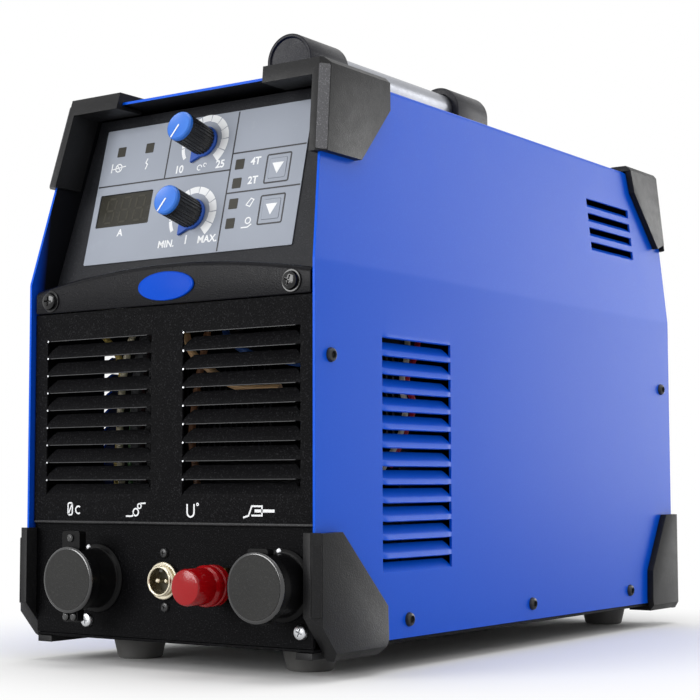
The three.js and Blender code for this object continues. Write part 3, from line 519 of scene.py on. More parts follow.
top_half = HALF - LEAN_IN
bank_rows = row_lines(SIDE_LOWEST, SIDE_BANK)
slot_rows = row_lines(SLOT_LOWEST, SLOT_BANK)
upright = [(HALF, z) for z in (0, 8, CORNER_TALL, 28, *bank_rows, 196)]


def lean_x(z):
    return HALF - LEAN_IN * (z - KNEE) / (HEIGHT - KNEE)


leaning = [(lean_x(z), z) for z in (236, *slot_rows, 316)]
right_half = [
    *upright,
    *fillet((HALF, 0), (HALF, KNEE), (top_half, HEIGHT), 30),
    *leaning,
    *fillet((HALF, KNEE), (top_half, HEIGHT), (0, HEIGHT), 3.2),
    (60, HEIGHT),
]
section = right_half + [(-x, z) for x, z in reversed(right_half)]
bank_y = bank_lines(SIDE_FROM, SIDE_BANK)
slot_y = bank_lines(SLOT_FROM, SLOT_BANK)
lengthwise = [0, CORNER_DEEP, 40, *bank_y, 180, 235, 290, *slot_y, 440, LENGTH]


def on_cover(y, point):
    x, z = point
    back = SET_BACK * max(0, z - KNEE) / (HEIGHT - KNEE) * max(0, 1 - y / SIDE_FROM)
    return MM * (COVER_EDGE + Vector((x, y + back, z)))


def cover_open(i, j):
    y = (lengthwise[i] + lengthwise[i + 1]) / 2
    z = (section[j][1] + section[j + 1][1]) / 2
    in_bank = SIDE_FROM < y < bank_y[-1] and SIDE_LOWEST < z < bank_rows[-1]
    in_slots = SLOT_FROM < y < slot_y[-1] and SLOT_LOWEST < z < slot_rows[-1]
    in_corner = y < CORNER_DEEP and z < CORNER_TALL
    return in_bank or in_slots or in_corner


bm = laid_sheet(lengthwise, section, on_cover, cover_open)
for out, first, second in ((RIGHT, SIDE_FROM, SLOT_FROM), (LEFT, bank_y[-1], slot_y[-1])):
    bank = grown(louvres, Finish=blue_coat, **SIDE_BANK)
    weld_bank(bm, bank, seat(HALF * out[0], first, SIDE_LOWEST, out))
    bank = grown(louvres, Finish=blue_coat, **SLOT_BANK)
    inward = -out[0] * LEAN_IN / (HEIGHT - KNEE)
    leant = Matrix.Identity(4)
    leant[0][2], leant[0][3] = inward, -inward * MM * (COVER_EDGE.z + KNEE)
    weld_bank(bm, bank, leant @ seat(HALF * out[0], second, SLOT_LOWEST, out))
cover = fit(new_piece("cover_sheet", bm), blue_coat, "case", "case_blue", "cover")
give_thickness(cover, 1.6, inner_shaded_coat)

# ---- Screws in the cover ----
# Black steel button-head screws with hexagonal sockets. On each side two hold the cover to the front and
# rear panels, and three hold it to the pan.
COVER_SCREWS = [(14.8, 161.6), (454.7, 161.5), (94, 10.5), (245, 10.4), (394.7, 11)]
black_screw = finish("black_screw", [(22, 22, 23), (34, 34, 36)], (0.25, 0.42), (0.6, 0.03), patches=120)


def hex_screw_head(bm, seat_on, radius=4.2, height=2.6):
    """A button head with a hexagonal socket."""
    rim, floor_up = (radius * 0.56, height), height - 1.6
    turned(bm, [(0, -0.2), (radius, -0.2), (radius, 0.5), (radius * 0.86, height * 0.75), rim], seat_on, 24)
    turned(bm, [rim, (radius * 0.5, height - 0.2), (radius * 0.44, floor_up), (0, floor_up)], seat_on, 6)


def planted(name, tree, seat_on, material, body, slot, *nodes, points=(), edge=0.0, **values):
    """A piece that a tree makes in millimetres, carried to its place."""
    mesh = grown(tree, points, Finish=material, **values)
    mesh.transform(seat_on)
    piece = bpy.data.objects.new(name, mesh)
    scene.collection.objects.link(piece)
    if edge:
        round_edges(piece, edge)
    return fit(piece, material, body, slot, *nodes)


screw_row, given = start_tree("row_of_screws", Head="Object")
head = shape(screw_row, "ObjectInfo", {"Object": given["Head"]}, "Geometry")
holes = shape(screw_row, "MeshToPoints", {0: given["Geometry"]})
driven = made(screw_row, "FunctionNodeRandomValue", {2: 0.0, 3: 6.28, "Seed": 7}, 1, data_type="FLOAT")
about = made(screw_row, "FunctionNodeAxisAngleToRotation", {"Axis": (0, 0, 1), "Angle": driven})
set_in = shape(screw_row, "InstanceOnPoints", {0: holes, "Instance": head, "Rotation": about})
end_tree(screw_row, [set_in], given)


def screws(name, make_head, holes, seat_on, material, slot):
    """Drives one kind of screw into each hole, given as (across, up) on the surface it sits on."""
    bm = bmesh.new()
    make_head(bm, Matrix())
    head = new_piece("head", bm)
    points = [(x, z, 0) for x, z in holes]
    row = planted(name, screw_row, seat_on, material, "case", slot, points=points, edge=0.15, Head=head)
    bpy.data.objects.remove(head)
    return row


for side, out in (("right", RIGHT), ("left", LEFT)):
    holes = [(out[0] * y, z) for y, z in COVER_SCREWS]
    on_side = seat(out[0] * HALF, 0, 0, out)
    screws(f"cover_screws_{side}", hex_screw_head, holes, on_side, black_screw, "screw_black")

# ---- Connector panel ----
# A black textured steel panel across the lower front. Silver cross-head screws hold it to the pan, and
# white line symbols over the connectors say what each one is for.
PANEL_FACE = 5
FLANGE_SEAT = PANEL_FACE - 0.3
panel_seat = seat(0, PANEL_FACE, 0)
print_white = finish(
    "print_white", [(230, 232, 234), (240, 241, 243)], (0.5, 0.6), (0.5, 0.01),
    patches=90, scuff=0.0)


def cross_screw_head(bm, seat_on, radius=4.4, height=2.6):
    """A pan head with a cross recess, cut as four notches round a raised rim."""
    steps = 32
    rings = [(radius, 0), (radius, 0.7), (radius * 0.86, height * 0.8), (radius * 0.6, height)]
    turned(bm, rings, seat_on, steps)
    outer = radius * 0.6
    rim = []
    low = []
    for i in range(steps):
        angle = 2 * math.pi * i / steps
        arm = i % (steps // 4) in (0, 1, steps // 4 - 1)
        inner = outer * (0.86 if arm else 0.3)
        along = Vector((math.cos(angle), math.sin(angle), 0))
        rim.append(bm.verts.new(seat_on @ (along * outer + Vector((0, 0, height)))))
        low.append(bm.verts.new(seat_on @ (along * inner + Vector((0, 0, height)))))
    floor_ring = [bm.verts.new(v.co + (seat_on.to_3x3() @ Vector((0, 0, -1.5)))) for v in low]
    for i in range(steps):
        j = (i + 1) % steps
        bm.faces.new([rim[i], rim[j], low[j], low[i]])
        bm.faces.new([low[i], low[j], floor_ring[j], floor_ring[i]])
    bm.faces.new(floor_ring)
    bmesh.ops.remove_doubles(bm, verts=bm.verts, dist=0.001 * seat_on.median_scale)
    bmesh.ops.recalc_face_normals(bm, faces=bm.faces)


def plate(bm, outline, low, high, seat_on):
    """A flat plate with the given outline, solid from low to high."""
    under = [bm.verts.new(seat_on @ Vector((x, z, low))) for x, z in outline]
    over = [bm.verts.new(seat_on @ Vector((x, z, high))) for x, z in outline]
    bm.faces.new(over)
    bm.faces.new(under[::-1])
    for i in range(len(outline)):
        j = (i + 1) % len(outline)
        bm.faces.new([under[i], under[j], over[j], over[i]])


def stroke(bm, line, width, seat_on, low=0.0, high=0.12, looped=False):
    """A printed or raised line of even width along points (across, up)."""
    points = [Vector(point) for point in line]
    count = len(points)
    rings = []
    for i, point in enumerate(points):
        before = points[i - 1] if i or looped else None
        after = points[(i + 1) % count] if i + 1 < count or looped else None
        into = (point - before).normalized() if before is not None else (after - point).normalized()
        out = (after - point).normalized() if after is not None else into
        along = (into + out).normalized() if (into + out).length > 1e-6 else into
        side = Vector((-along.y, along.x)) * (width / 2 / max(0.4, along.dot(into)))
        edges = [(point + side, low), (point + side, high), (point - side, high), (point - side, low)]
        rings.append([bm.verts.new(seat_on @ Vector((*place, level))) for place, level in edges])
    pairs = list(zip(rings, rings[1:])) + ([(rings[-1], rings[0])] if looped else [])
    for near, far in pairs:
        for k in range(4):
            m = (k + 1) % 4
            bm.faces.new([near[k], near[m], far[m], far[k]])
    if not looped:
        bm.faces.new(rings[0][::-1])
        bm.faces.new(rings[-1])


def arc(x, z, radius, start, end, steps=16):
    turns = [math.radians(start + (end - start) * i / steps) for i in range(steps + 1)]
    return [(x + radius * math.cos(a), z + radius * math.sin(a)) for a in turns]


keep("connector_panel", textured_black)
screws("panel_screws", cross_screw_head, [(-62.8, 8.7), (97, 8.8)], panel_seat, zinc, "steel")


def small_screw_head(bm, seat_on):
    cross_screw_head(bm, seat_on, 2.9, 1.9)


screws("signal_screws", small_screw_head, [(-2, 50), (-1, 18.7)], panel_seat, black_screw, "screw_black")

# ---- Output sockets and their caps ----
# Black moulded sockets stand out of the panel on a round flange with a lug above and a screwed strip
# below. Matt rubber caps push over them and pull straight off.
SOCKET_UP = 34
moulded_black = finish(
    "moulded_black", [(8, 8, 9), (13, 13, 14)], (0.3, 0.45), (0.7, 0.03),
    patches=30, scuff=0.1, spec=0.12)
cap_rubber = finish(
    "cap_rubber", [(38, 38, 38), (48, 48, 47)], (0.46, 0.6), (0.8, 0.1),
    patches=30, scuff=0.2, painted_sparkle=0.14, spec=0.14)
gloss_dark = finish(
    "gloss_dark", [(14, 14, 15), (24, 24, 26)], (0.16, 0.26), (0.5, 0.02),
    patches=90, spec=0.9)
LUGS = {"left": (28.5, -24.6), "right": (21, -20)}
RIVETS = {"left": (-5.8, 18.4), "right": (-1.5, 19)}
brass = finish(
    "brass", [(178, 140, 66), (206, 170, 92)], (0.2, 0.38), (0.7, 0.02),
    metallic=1.0, patches=60)


def rounded_box(x0, x1, z0, z1, radius, steps=4):
    """The outline of a rectangle with round corners."""
    corners = [(x1 - radius, z0 + radius, -90), (x1 - radius, z1 - radius, 0),
               (x0 + radius, z1 - radius, 90), (x0 + radius, z0 + radius, 180)]
    return sum([arc(x, z, radius, start, start + 90, steps) for x, z, start in corners], [])


SOCKET_PROFILE = [
    (0, -18), (12, -18), (12, -0.5), (20.5, -0.5), (20.5, 0.8), (19.6, 1.6), (17.9, 2.2), (17.5, 3),
    (17.5, 21), (16.6, 22), (9.2, 22), (8, 21), (8, -10), (0, -10)]
CONTACT_PROFILE = [(7.9, -9.9), (7.9, 18.5), (7.2, 19), (6.2, 18.4), (6.2, -9.9)]
CAP_DISC = [(0, 25.9), (17.6, 25.9), (17.6, 23), (0, 23)]
CAP_RIM = [
    (17.65, 23), (17.65, 25.8), (18, 26), (18.6, 25.9), (19.2, 25.5), (19.5, 24.9), (19.5, 23.9),
    (18.9, 23), (17.65, 23)]
CAP_GRIP = [
    (18.6, 22.95), (18.6, 20), (18.9, 18.4), (18.8, 16.9), (18.2, 16.5), (17.8, 16.5), (17.8, 22.95),
    (18.6, 22.95)]
CAP_STUD = [(0, 22.9), (2.3, 22.9), (2.3, 23.8), (1.5, 24.4), (0, 24.5)]
RIVET = [(0, 0), (1.7, 0), (1.6, 0.9), (1, 1.5), (0, 1.6)]
for side, x in (("left", -55), ("right", 84.5)):
    here = seat(x, FLANGE_SEAT, SOCKET_UP)
    socket, cap = f"socket_{side}", f"socket_cap_{side}"
    build(
        socket + "_body", [(turned, SOCKET_PROFILE, here)], moulded_black, "case", "bezel_black", socket,
        edge=0.4)
    build(socket + "_contact", [(turned, CONTACT_PROFILE, here, 32)], brass, "case", "brass")
    build(cap + "_face", [(turned, CAP_DISC, here, 72)], cap_rubber, cap, "rubber_black", cap)
    build(cap + "_rim", [(turned, CAP_RIM, here, 72)], gloss_dark, cap, "rubber_black")
    lug_top, strip_low = LUGS[side]
    lug, strip = rounded_box(-7, 7, 17, lug_top, 1.8), rounded_box(-6, 6, strip_low, -16, 1.8)
    grip = [(turned, CAP_GRIP, here, 64), (plate, lug, 17.4, 22.9, here), (plate, strip, 17.4, 22.9, here)]
    build(cap + "_grip", grip, moulded_black, cap, "rubber_black", edge=0.4)
    spots = ((0, lug_top - 4), (-3, strip_low + 3.2), (3, strip_low + 3.2))
    studs = [(turned, CAP_STUD, here @ Matrix.Translation((*spot, 0)), 16) for spot in spots]
    build(cap + "_studs", studs, gloss_dark, cap, "rubber_black", edge=0.15)
    rivet_x, rivet_up = RIVETS[side]
    rivet_seat = seat(x + rivet_x, PANEL_FACE - 1.4, SOCKET_UP + rivet_up)
    build(socket + "_rivet", [(turned, RIVET, rivet_seat, 20)], zinc, "case", "steel")

# ---- Signal socket ----
# A two-pin round socket with a nickelled, threaded shell, held by a round nut. Its two pins stand in a
# dark moulded insulator with a key at the top.
SIGNAL_X = -1.5
nickel = finish(
    "nickel", [(206, 196, 172), (232, 224, 202)], (0.16, 0.3), (0.6, 0.015),
    metallic=1.0, patches=80)
olive = finish("insulator_olive", [(52, 50, 40), (64, 62, 50)], (0.4, 0.5), (0.6, 0.02), patches=60)
thread = [(8.9 - 0.5 * (k % 2), 1.2 + 0.45 * k) for k in range(9)]
SHELL = [
    (7.4, -13.8), (8.9, -13.8), *thread, (8.9, 5.2), (8.5, 5.8), (7.8, 5.8), (7.4, 5.3), (7.4, -13.8)]
NUT = [(8.6, -0.1), (10.6, -0.1), (10.9, 0.3), (10.9, 2.2), (10.4, 2.7), (8.6, 2.7), (8.6, -0.1)]
PIN = [(0, -4), (1.5, -4), (1.5, 2.6), (0.9, 3.4), (0, 3.4)]
here = seat(SIGNAL_X, FLANGE_SEAT, SOCKET_UP)
pins = [(turned, PIN, seat(SIGNAL_X + x, FLANGE_SEAT, SOCKET_UP), 16) for x in (-3.3, 3.3)]
build(
    "signal_shell", [(turned, SHELL, here), (turned, NUT, here), *pins], nickel, "case", "nickel",
    "signal_socket", edge=0.12)
insulator = [(0, -3.5), (7.35, -3.5), (7.35, -12), (0, -12)]
build("signal_insulator", [
    (turned, insulator, here, 32), (plate, rounded_box(-1.2, 1.2, 5.2, 7.3, 0.4), -3.6, 3.5, here),
], olive, "case", "bezel_black")

# ---- Torch connector and its cap ----
# A brass gas connector with a hexagonal collar. A translucent red cap covers it: a slim cup with two
# rings round its foot.
TORCH_X, TORCH_UP = 41, 33
dark_brass = finish(
    "dark_brass", [(84, 62, 36), (112, 86, 50)], (0.3, 0.45), (0.7, 0.03),
    metallic=1.0, patches=60)
red_plastic = finish(
    "red_plastic", [(156, 4, 11), (174, 9, 18)], (0.12, 0.2), (2.0, 0.02),
    patches=40, scuff=0.04, clear=0.16, spec=0.3)
here = seat(TORCH_X, FLANGE_SEAT, TORCH_UP)
FITTING = [(1.8, -22), (8, -22), (8, 0), (7.6, 0.2), (7.6, 25.2), (6.8, 26), (1.8, 26), (1.8, -22)]
COLLAR = [(7.7, 0), (11.2, 0), (11.2, 4), (10.4, 5), (7.7, 5), (7.7, 0)]
TORCH_CUP = [
    (0, 32.8), (8.2, 32.8), (9.6, 32.4), (10.3, 31.2), (10.3, 17.4), (11.2, 16.2), (11.7, 15.4),
    (11.7, 12.9), (10.9, 12.1), (10.9, 10.7), (11.7, 10), (11.7, 6.2), (10.9, 5.3), (8.4, 5.3),
    (8.4, 30.4), (0, 30.4)]
build(
    "torch_fitting", [(turned, FITTING, here, 40), (turned, COLLAR, here, 6)], dark_brass, "case", "brass",
    "torch_connector", edge=0.3)
build(
    "torch_cap_cup", [(turned, TORCH_CUP, here, 64)], red_plastic, "torch_connector_cap", "cap_red",
    "torch_connector_cap", edge=0.2)

# ---- Grille panel ----
# A black textured steel panel with two banks of pressed louvres. Thin strokes of paler grey along the
# louvres' lips are painted highlights where the edges catch the light, and bright metal dots at their left
# ends are painted glints. A bead runs along its lower edge, which carries white symbols for the connectors
# below; the bead's paler grey is a painted highlight for the light line along that edge.
GRILLE_BOTTOM, GRILLE_TOP, GRILLE_Y = 66.4, 195.3, 3.5
GRILLE_BANK = dict(Length=85.3, Pitch=10.7, Height=9.2, Depth=4.0, Taper=5.6, Open=2.2, Bulge=0.5, Count=9)
GRILLE_LOWEST, GRILLE_EDGE = 83.5, 107.7
BANK_STARTS = (-97.4, 12.1)
# Painted highlight: the bead is a paler grey than the panel, for the light line along the lower edge.
bead_highlight_grey = finish(
    "bead_highlight_grey", [(20, 20, 22), (29, 29, 31)], (0.3, 0.42), (0.8, 0.1),
    patches=24, painted_sparkle=0.2, spec=0.3)
# Painted highlight: a grey paler than the panel, for the thin light lines where the louvres' lips catch the
# light.
lip_highlight_grey = finish("lip_highlight_grey", [(26, 27, 29), (40, 41, 44)], (0.4, 0.55), (0.6, 0.02), patches=60)
grille_rows = row_lines(GRILLE_LOWEST, GRILLE_BANK)
grille_up = [GRILLE_BOTTOM, 71, *grille_rows, 187, GRILLE_TOP]
grille_banks = [bank_lines(start, GRILLE_BANK) for start in BANK_STARTS]
grille_across = [-GRILLE_EDGE, *grille_banks[0], 0, *grille_banks[1], GRILLE_EDGE]


def on_grille(x, z):
    return MM * (COVER_EDGE + Vector((x, GRILLE_Y, z)))


def grille_open(i, j):
    x = (grille_across[i] + grille_across[i + 1]) / 2
    z = (grille_up[j] + grille_up[j + 1]) / 2
    in_bank = any(lines[0] < x < lines[-1] for lines in grille_banks)
    return in_bank and GRILLE_LOWEST < z < grille_rows[-1]


bm = laid_sheet(grille_across, grille_up, on_grille, grille_open)
for start in BANK_STARTS:
    bank = grown(louvres, Finish=textured_black, **GRILLE_BANK)
    weld_bank(bm, bank, seat(start, GRILLE_Y, GRILLE_LOWEST))
grille = fit(new_piece("grille_sheet", bm), textured_black, "case", "case_black", "grille_panel")
give_thickness(grille, 1.4, textured_black, 0.3)

grille_seat = seat(0, GRILLE_Y, 0)
bead_line = [(-GRILLE_EDGE + 1, GRILLE_BOTTOM + 0.9), (GRILLE_EDGE - 1, GRILLE_BOTTOM + 0.9)]
bead = [(stroke, bead_line, 1.8, grille_seat, -0.4, 0.9)]
build("grille_bead", bead, bead_highlight_grey, "case", "case_black", edge=0.8, rounds=3)

# Painted highlights and glints: paler strokes along each lip, and a bright metal dot at each louvre's left
# end.
lips, glints = [], []
for k in range(GRILLE_BANK["Count"]):
    z = GRILLE_LOWEST + GRILLE_BANK["Pitch"] * k + GRILLE_BANK["Height"]
    for lines in grille_banks:
        lips.append((stroke, [(lines[0] + 3, z), (lines[-1] - 3, z)], 0.34, grille_seat, 0.34, 0.62))
        glint = [(0, 0.9), (0.6, 0.9), (0.6, 0.2), (0, 0.2)]
        glints.append((turned, glint, seat(lines[0] + 1.2, GRILLE_Y, z), 8))
build("grille_lips", lips, lip_highlight_grey, "case", "case_black")
build("grille_glints", glints, zinc, "case", "case_black")

symbols = bmesh.new()
face = seat(0, GRILLE_Y - 0.02, 75)
SYMBOLS = [
    (rounded_box(-78.6, -75, -3.4, 3.8, 1.2, 3), 0.9, True), ([(-78.4, -3.2), (-75.2, 3.4)], 0.8, False),
    (arc(-70, -0.4, 2.2, 50, 310), 0.9, False),
    (arc(-23.4, -1.4, 2.1, 0, 340), 0.9, True), ([(-31.2, -3.8), (-26.4, -3.8), (-25, -2.6)], 0.9, False),
    (arc(-20.6, 2.2, 1.4, 0, 330, 10), 0.8, True), ([(-20, 3.7), (-15.8, 3.9)], 0.9, False),
    ([(16.2, 3.6), (16.2, -0.6), *arc(18.8, -1.2, 2.6, 180, 360, 10), (21.4, 3.6)], 1.0, False),
    (arc(24, 3.4, 0.7, 0, 330, 8), 0.6, True),
    ([(57.4, -3.8), (61.2, -2.8), (63.6, 2.6), (70.8, 2.6), (70.8, -2.6), (63.4, -2.6)], 1.0, False),
    ([(65.6, 0), (79.6, 0)], 1.7, False),
]
for line, width, looped in SYMBOLS:
    stroke(symbols, line, width, face, looped=looped)
fit(new_piece("connector_symbols", symbols), print_white, "case", "overlay_film")

# ---- Bezel and badge ----
# A black moulded strip crosses the front over the grille. Its top edge arches up and is well rounded.
# Two cross-head screws hold it, and a bare oval badge sits in the middle.
BEZEL_HALF, BEZEL_LOW, BEZEL_ENDS, BEZEL_PEAK = 106, 195.6, 210, 220
BEZEL_FRONT, BEZEL_BACK, BEZEL_ROUND = 1.5, 18, 3.6


def bezel_section(x):
    """The strip's outline in y and z, x from its middle."""
    top = BEZEL_ENDS + (BEZEL_PEAK - BEZEL_ENDS) * (1 - (x / BEZEL_HALF) ** 2)
    crown = fillet((BEZEL_FRONT, BEZEL_LOW), (BEZEL_FRONT, top), (BEZEL_BACK, top), BEZEL_ROUND, 6)
    foot = fillet((BEZEL_BACK, BEZEL_LOW), (BEZEL_FRONT, BEZEL_LOW), (BEZEL_FRONT, top), 0.8, 3)
    return [(BEZEL_BACK, BEZEL_LOW), *foot, *crown, (BEZEL_BACK, top)]


bm = bmesh.new()
stations = [-BEZEL_HALF + 2 * BEZEL_HALF * i / 48 for i in range(49)]
loops = []
for x in stations:
    loops.append([bm.verts.new(MM * (COVER_EDGE + Vector((x, y, z)))) for y, z in bezel_section(x)])
for near, far in zip(loops, loops[1:]):
    for k in range(len(near)):
        m = (k + 1) % len(near)
        bm.faces.new([near[k], near[m], far[m], far[k]])
bm.faces.new(loops[0])
bm.faces.new(loops[-1])
bmesh.ops.recalc_face_normals(bm, faces=bm.faces)
bezel_black = finish(
    "bezel_black", [(9, 9, 13), (15, 15, 19)], (0.24, 0.36), (0.8, 0.14),
    patches=24, scuff=0.08, painted_sparkle=0.2, spec=0.1)
gloss_black = finish(
    "gloss_black", [(5, 5, 6), (10, 10, 11)], (0.1, 0.18), (0.5, 0.01),
    patches=100, scuff=0.05, spec=0.4)


def bezel_screw_head(bm, seat_on):
    """A large cross head on a thin round washer."""
    turned(bm, [(4, 0), (6.7, 0), (6.7, 0.7), (6.3, 1), (4, 1)], seat_on, 32)
    cross_screw_head(bm, seat_on, 5.7, 3.4)


fit(round_edges(new_piece("bezel_strip", bm), 0.6, 50), bezel_black, "case", "bezel_black", "bezel")
bezel_seat = seat(0, BEZEL_FRONT, 0)
bezel_holes = [(-93, 203), (93, 203)]
heads = screws("bezel_screws", bezel_screw_head, bezel_holes, bezel_seat, gloss_black, "screw_black")
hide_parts("bezel_screw_left", "bezel_screw_right")

badge_blue = finish(
    "badge_blue", [(0, 66, 184), (2, 76, 198)], (0.2, 0.3), (2.0, 0.01),
    patches=40, scuff=0.04, spec=0.06)
BADGE = [
    (0, 0.1), (22.35, 0.1), (22.35, 0.9), (21.9, 1.35), (21.2, 1.45), (20.8, 1.25), (20.2, 1.25),
    (12, 1.5), (0, 1.6)]
oval = seat(0.9, BEZEL_FRONT, 206.3) @ Matrix.Diagonal((0.955, 0.385, 1, 1))
build("badge_oval", [(turned, BADGE, oval, 72)], badge_blue, "case", "badge_blue", "badge")

# ---- Control fascia: panel and printed film ----
# The fascia is a black steel plate that leans back under the cover's lip. A grey-lavender printed film
# covers its middle, with dark dividing lines, white scales and figures, and dark lamp windows.
FASCIA_LEAN = math.atan(0.25)
FASCIA_OUT = (0, -math.cos(FASCIA_LEAN), math.sin(FASCIA_LEAN))
FASCIA_UP = (0, math.sin(FASCIA_LEAN), math.cos(FASCIA_LEAN))
FILM = {"x0": -86.6, "x1": 77, "z0": 13, "z1": 105}
FILM_TOP = 0.8
KNOB_X, KNOB_ROWS = -2.5, {"post_flow": 87, "current": 39.2}
BUTTON_X, BUTTON_ROWS = 57.6, {"mode": 63.2, "gas": 37}
LAMPS = [(-71.5, 89), (-47.8, 89), (28.2, 68.8), (28.2, 56.5), (28.2, 43.2), (28.2, 30.6)]


def on_fascia(x=0.0, z=0.0, out=0.0):
    base = Vector((x, 20.5, KNEE)) + z * Vector(FASCIA_UP) + out * Vector(FASCIA_OUT)
    return seat(*base, FASCIA_OUT, FASCIA_UP)


film_grey = finish(
    "film_grey", [(150, 156, 167), (160, 166, 178)], (0.4, 0.5), (0.4, 0.006),
    patches=8, scuff=0.05, spec=0.16)
print_dark = finish("print_dark", [(26, 26, 30), (36, 36, 40)], (0.35, 0.45), (0.5, 0.01), patches=60)
fascia_black = finish(
    "fascia_black", [(30, 31, 34), (38, 39, 43)], (0.4, 0.54), (0.9, 0.2),
    patches=24, scuff=0.08, painted_sparkle=0.25, spec=0.16)
keep("fascia_panel", fascia_black)


def with_holes(name, outline, holes, thickness):
    """A flat sheet with holes, cut from outlines, from 0 up to its thickness."""
    curve = bpy.data.curves.new(name, "CURVE")
    curve.dimensions = "2D"
    curve.fill_mode = "BOTH"
    curve.extrude = thickness / 2
    for points in (outline, *holes):
        spline = curve.splines.new("POLY")
        spline.points.add(len(points) - 1)
        for spot, point in zip(spline.points, points):
            spot.co = (*point, thickness / 2, 1)
        spline.use_cyclic_u = True
    carrier = bpy.data.objects.new(name, curve)
    mesh = bpy.data.meshes.new_from_object(carrier)
    bpy.data.objects.remove(carrier)
    bm = bmesh.new()
    bm.from_mesh(mesh)
    bmesh.ops.remove_doubles(bm, verts=bm.verts, dist=0.001)
    bmesh.ops.recalc_face_normals(bm, faces=bm.faces)
    return bm


display_hole = rounded_box(-82.5, -38.5, 37.7, 60, 0.8)
key_boxes = [(BUTTON_X - 6.5, BUTTON_X + 6.5, v - 6.5, v + 6.5, 1.2) for v in BUTTON_ROWS.values()]
key_holes = [rounded_box(*box) for box in key_boxes]
shaft_holes = [arc(KNOB_X, v, 5, 0, 345, 23) for v in KNOB_ROWS.values()]
film_outline = rounded_box(FILM["x0"], FILM["x1"], FILM["z0"], FILM["z1"], 0.8)
bm = with_holes("film", film_outline, [display_hole, *key_holes, *shaft_holes], 0.5)
bm.transform(on_fascia(out=0.3))
fit(new_piece("printed_film", bm), film_grey, "case", "overlay_film", "overlay")

on_film = on_fascia(out=FILM_TOP)
lines = bmesh.new()
for line in (
    [(21.3, 13.6), (21.3, 104.4)], [(-86, 66), (21.3, 66)], [(-31, 66), (-31, 104.4)],
    [(21.3, 76.5), (76.4, 76.5)], [(21.3, 50.5), (76.4, 50.5)],
):
    stroke(lines, line, 0.95, on_film, high=0.1)
for v in BUTTON_ROWS.values():
    stroke(lines, rounded_box(48.9, 66.5, v - 9.1, v + 9, 0.9, 2), 0.95, on_film, high=0.14, looped=True)
fit(new_piece("film_lines", lines), print_dark, "case", "overlay_film")
lamp_dark = finish(
    "lamp_dark", [(56, 55, 50), (66, 64, 58)], (0.3, 0.4), (0.5, 0.01),
    patches=60, spec=0.2)
windows = [
    (plate, rounded_box(x - 3.3, x + 3.3, v - 3.3, v + 3.3, 0.4, 2), 0, 0.16, on_film) for x, v in LAMPS]
build("lamp_windows", windows, lamp_dark, "case", "display_smoked")


def letters(bm, text, x, z, height, seat_on, thick):
    """Printed figures centred on (x, z), their strokes made thicker by thick."""
    curve = bpy.data.curves.new("text", "FONT")
    curve.body = text
    curve.size = height * 1.4
    curve.align_x, curve.align_y = "CENTER", "CENTER"
    curve.extrude = 0.05
    curve.offset = thick
    carrier = bpy.data.objects.new("text", curve)
    mesh = bpy.data.meshes.new_from_object(carrier)
    bpy.data.objects.remove(carrier)
    mesh.transform(seat_on @ Matrix.Translation((x, z, 0.06)))
    bm.from_mesh(mesh)


marks = bmesh.new()
for text, x, z, height in (
    ("10", -20, 70.8, 5), ("25", 12.6, 70.7, 5), ("MIN.", -20, 21.7, 4.6), ("I", -4.6, 23, 5.6),
    ("MAX.", 12.3, 22.2, 4.6), ("A", -60.3, 32.8, 4.6), ("4T", 40.2, 69.4, 4.8), ("2T", 40.2, 57, 4.8),
):
    letters(marks, text, x, z, height, on_film, 0.17)
SCALES = {
    "post_flow": ((-17.8, 76.8), (8.5, 73.9)),
    "current": ((-17.6, 29), (9.4, 25.2)),
}
SCALE_RIM, SCALE_STEPS, SCALE_GAP = 18.3, 10, 0.035
SCALE_THIN, SCALE_GROWTH = 2.4, 4.2
for use, (low_end, high_end) in SCALES.items():
    v = KNOB_ROWS[use]
    start = math.degrees(math.atan2(low_end[1] - v, low_end[0] - KNOB_X)) % 360
    end = math.degrees(math.atan2(high_end[1] - v, high_end[0] - KNOB_X)) % 360 - 360
    for k in range(SCALE_STEPS):
        from_turn = start + (end - start) * (k + SCALE_GAP) / SCALE_STEPS
        to_turn = start + (end - start) * (k + 1 - SCALE_GAP) / SCALE_STEPS
        width = SCALE_THIN + SCALE_GROWTH * k / SCALE_STEPS
        turns = arc(KNOB_X, v, SCALE_RIM - width / 2, from_turn, to_turn, 8)
        stroke(marks, turns, width, on_film, high=0.1)
PICTURES = [
    ([(-77.4, 81.4), (-77.4, 75.2)], 0.8, False), (arc(-71.6, 78, 2.6, 0, 330), 0.7, True),
    ([(-76.8, 77.4), (-65.8, 78.8)], 0.7, False), ([(-72.8, 79.6), (-70.4, 76.4)], 0.6, False),
    ([(-47.8, 81.8), (-49, 79), (-47.4, 77.8), (-48.6, 74.6)], 0.8, False),
    ([(38.2, 41.4), (41.4, 45.4), (43.6, 44.4), (41.2, 40.2), (38.2, 41.4)], 0.7, False),
    ([(37, 27), (41.8, 27), (44.6, 28.8)], 0.8, False), (arc(41.6, 31.2, 1.9, 0, 330), 0.7, True),
    (arc(-3.6, 70.4, 1.7, 0, 300), 0.6, False), (arc(0.4, 71.8, 1.1, 0, 300), 0.5, False),
]
for line, width, looped in PICTURES:
    stroke(marks, line, width, on_film, looped=looped)
fit(new_piece("film_marks", marks), print_white, "case", "overlay_film")

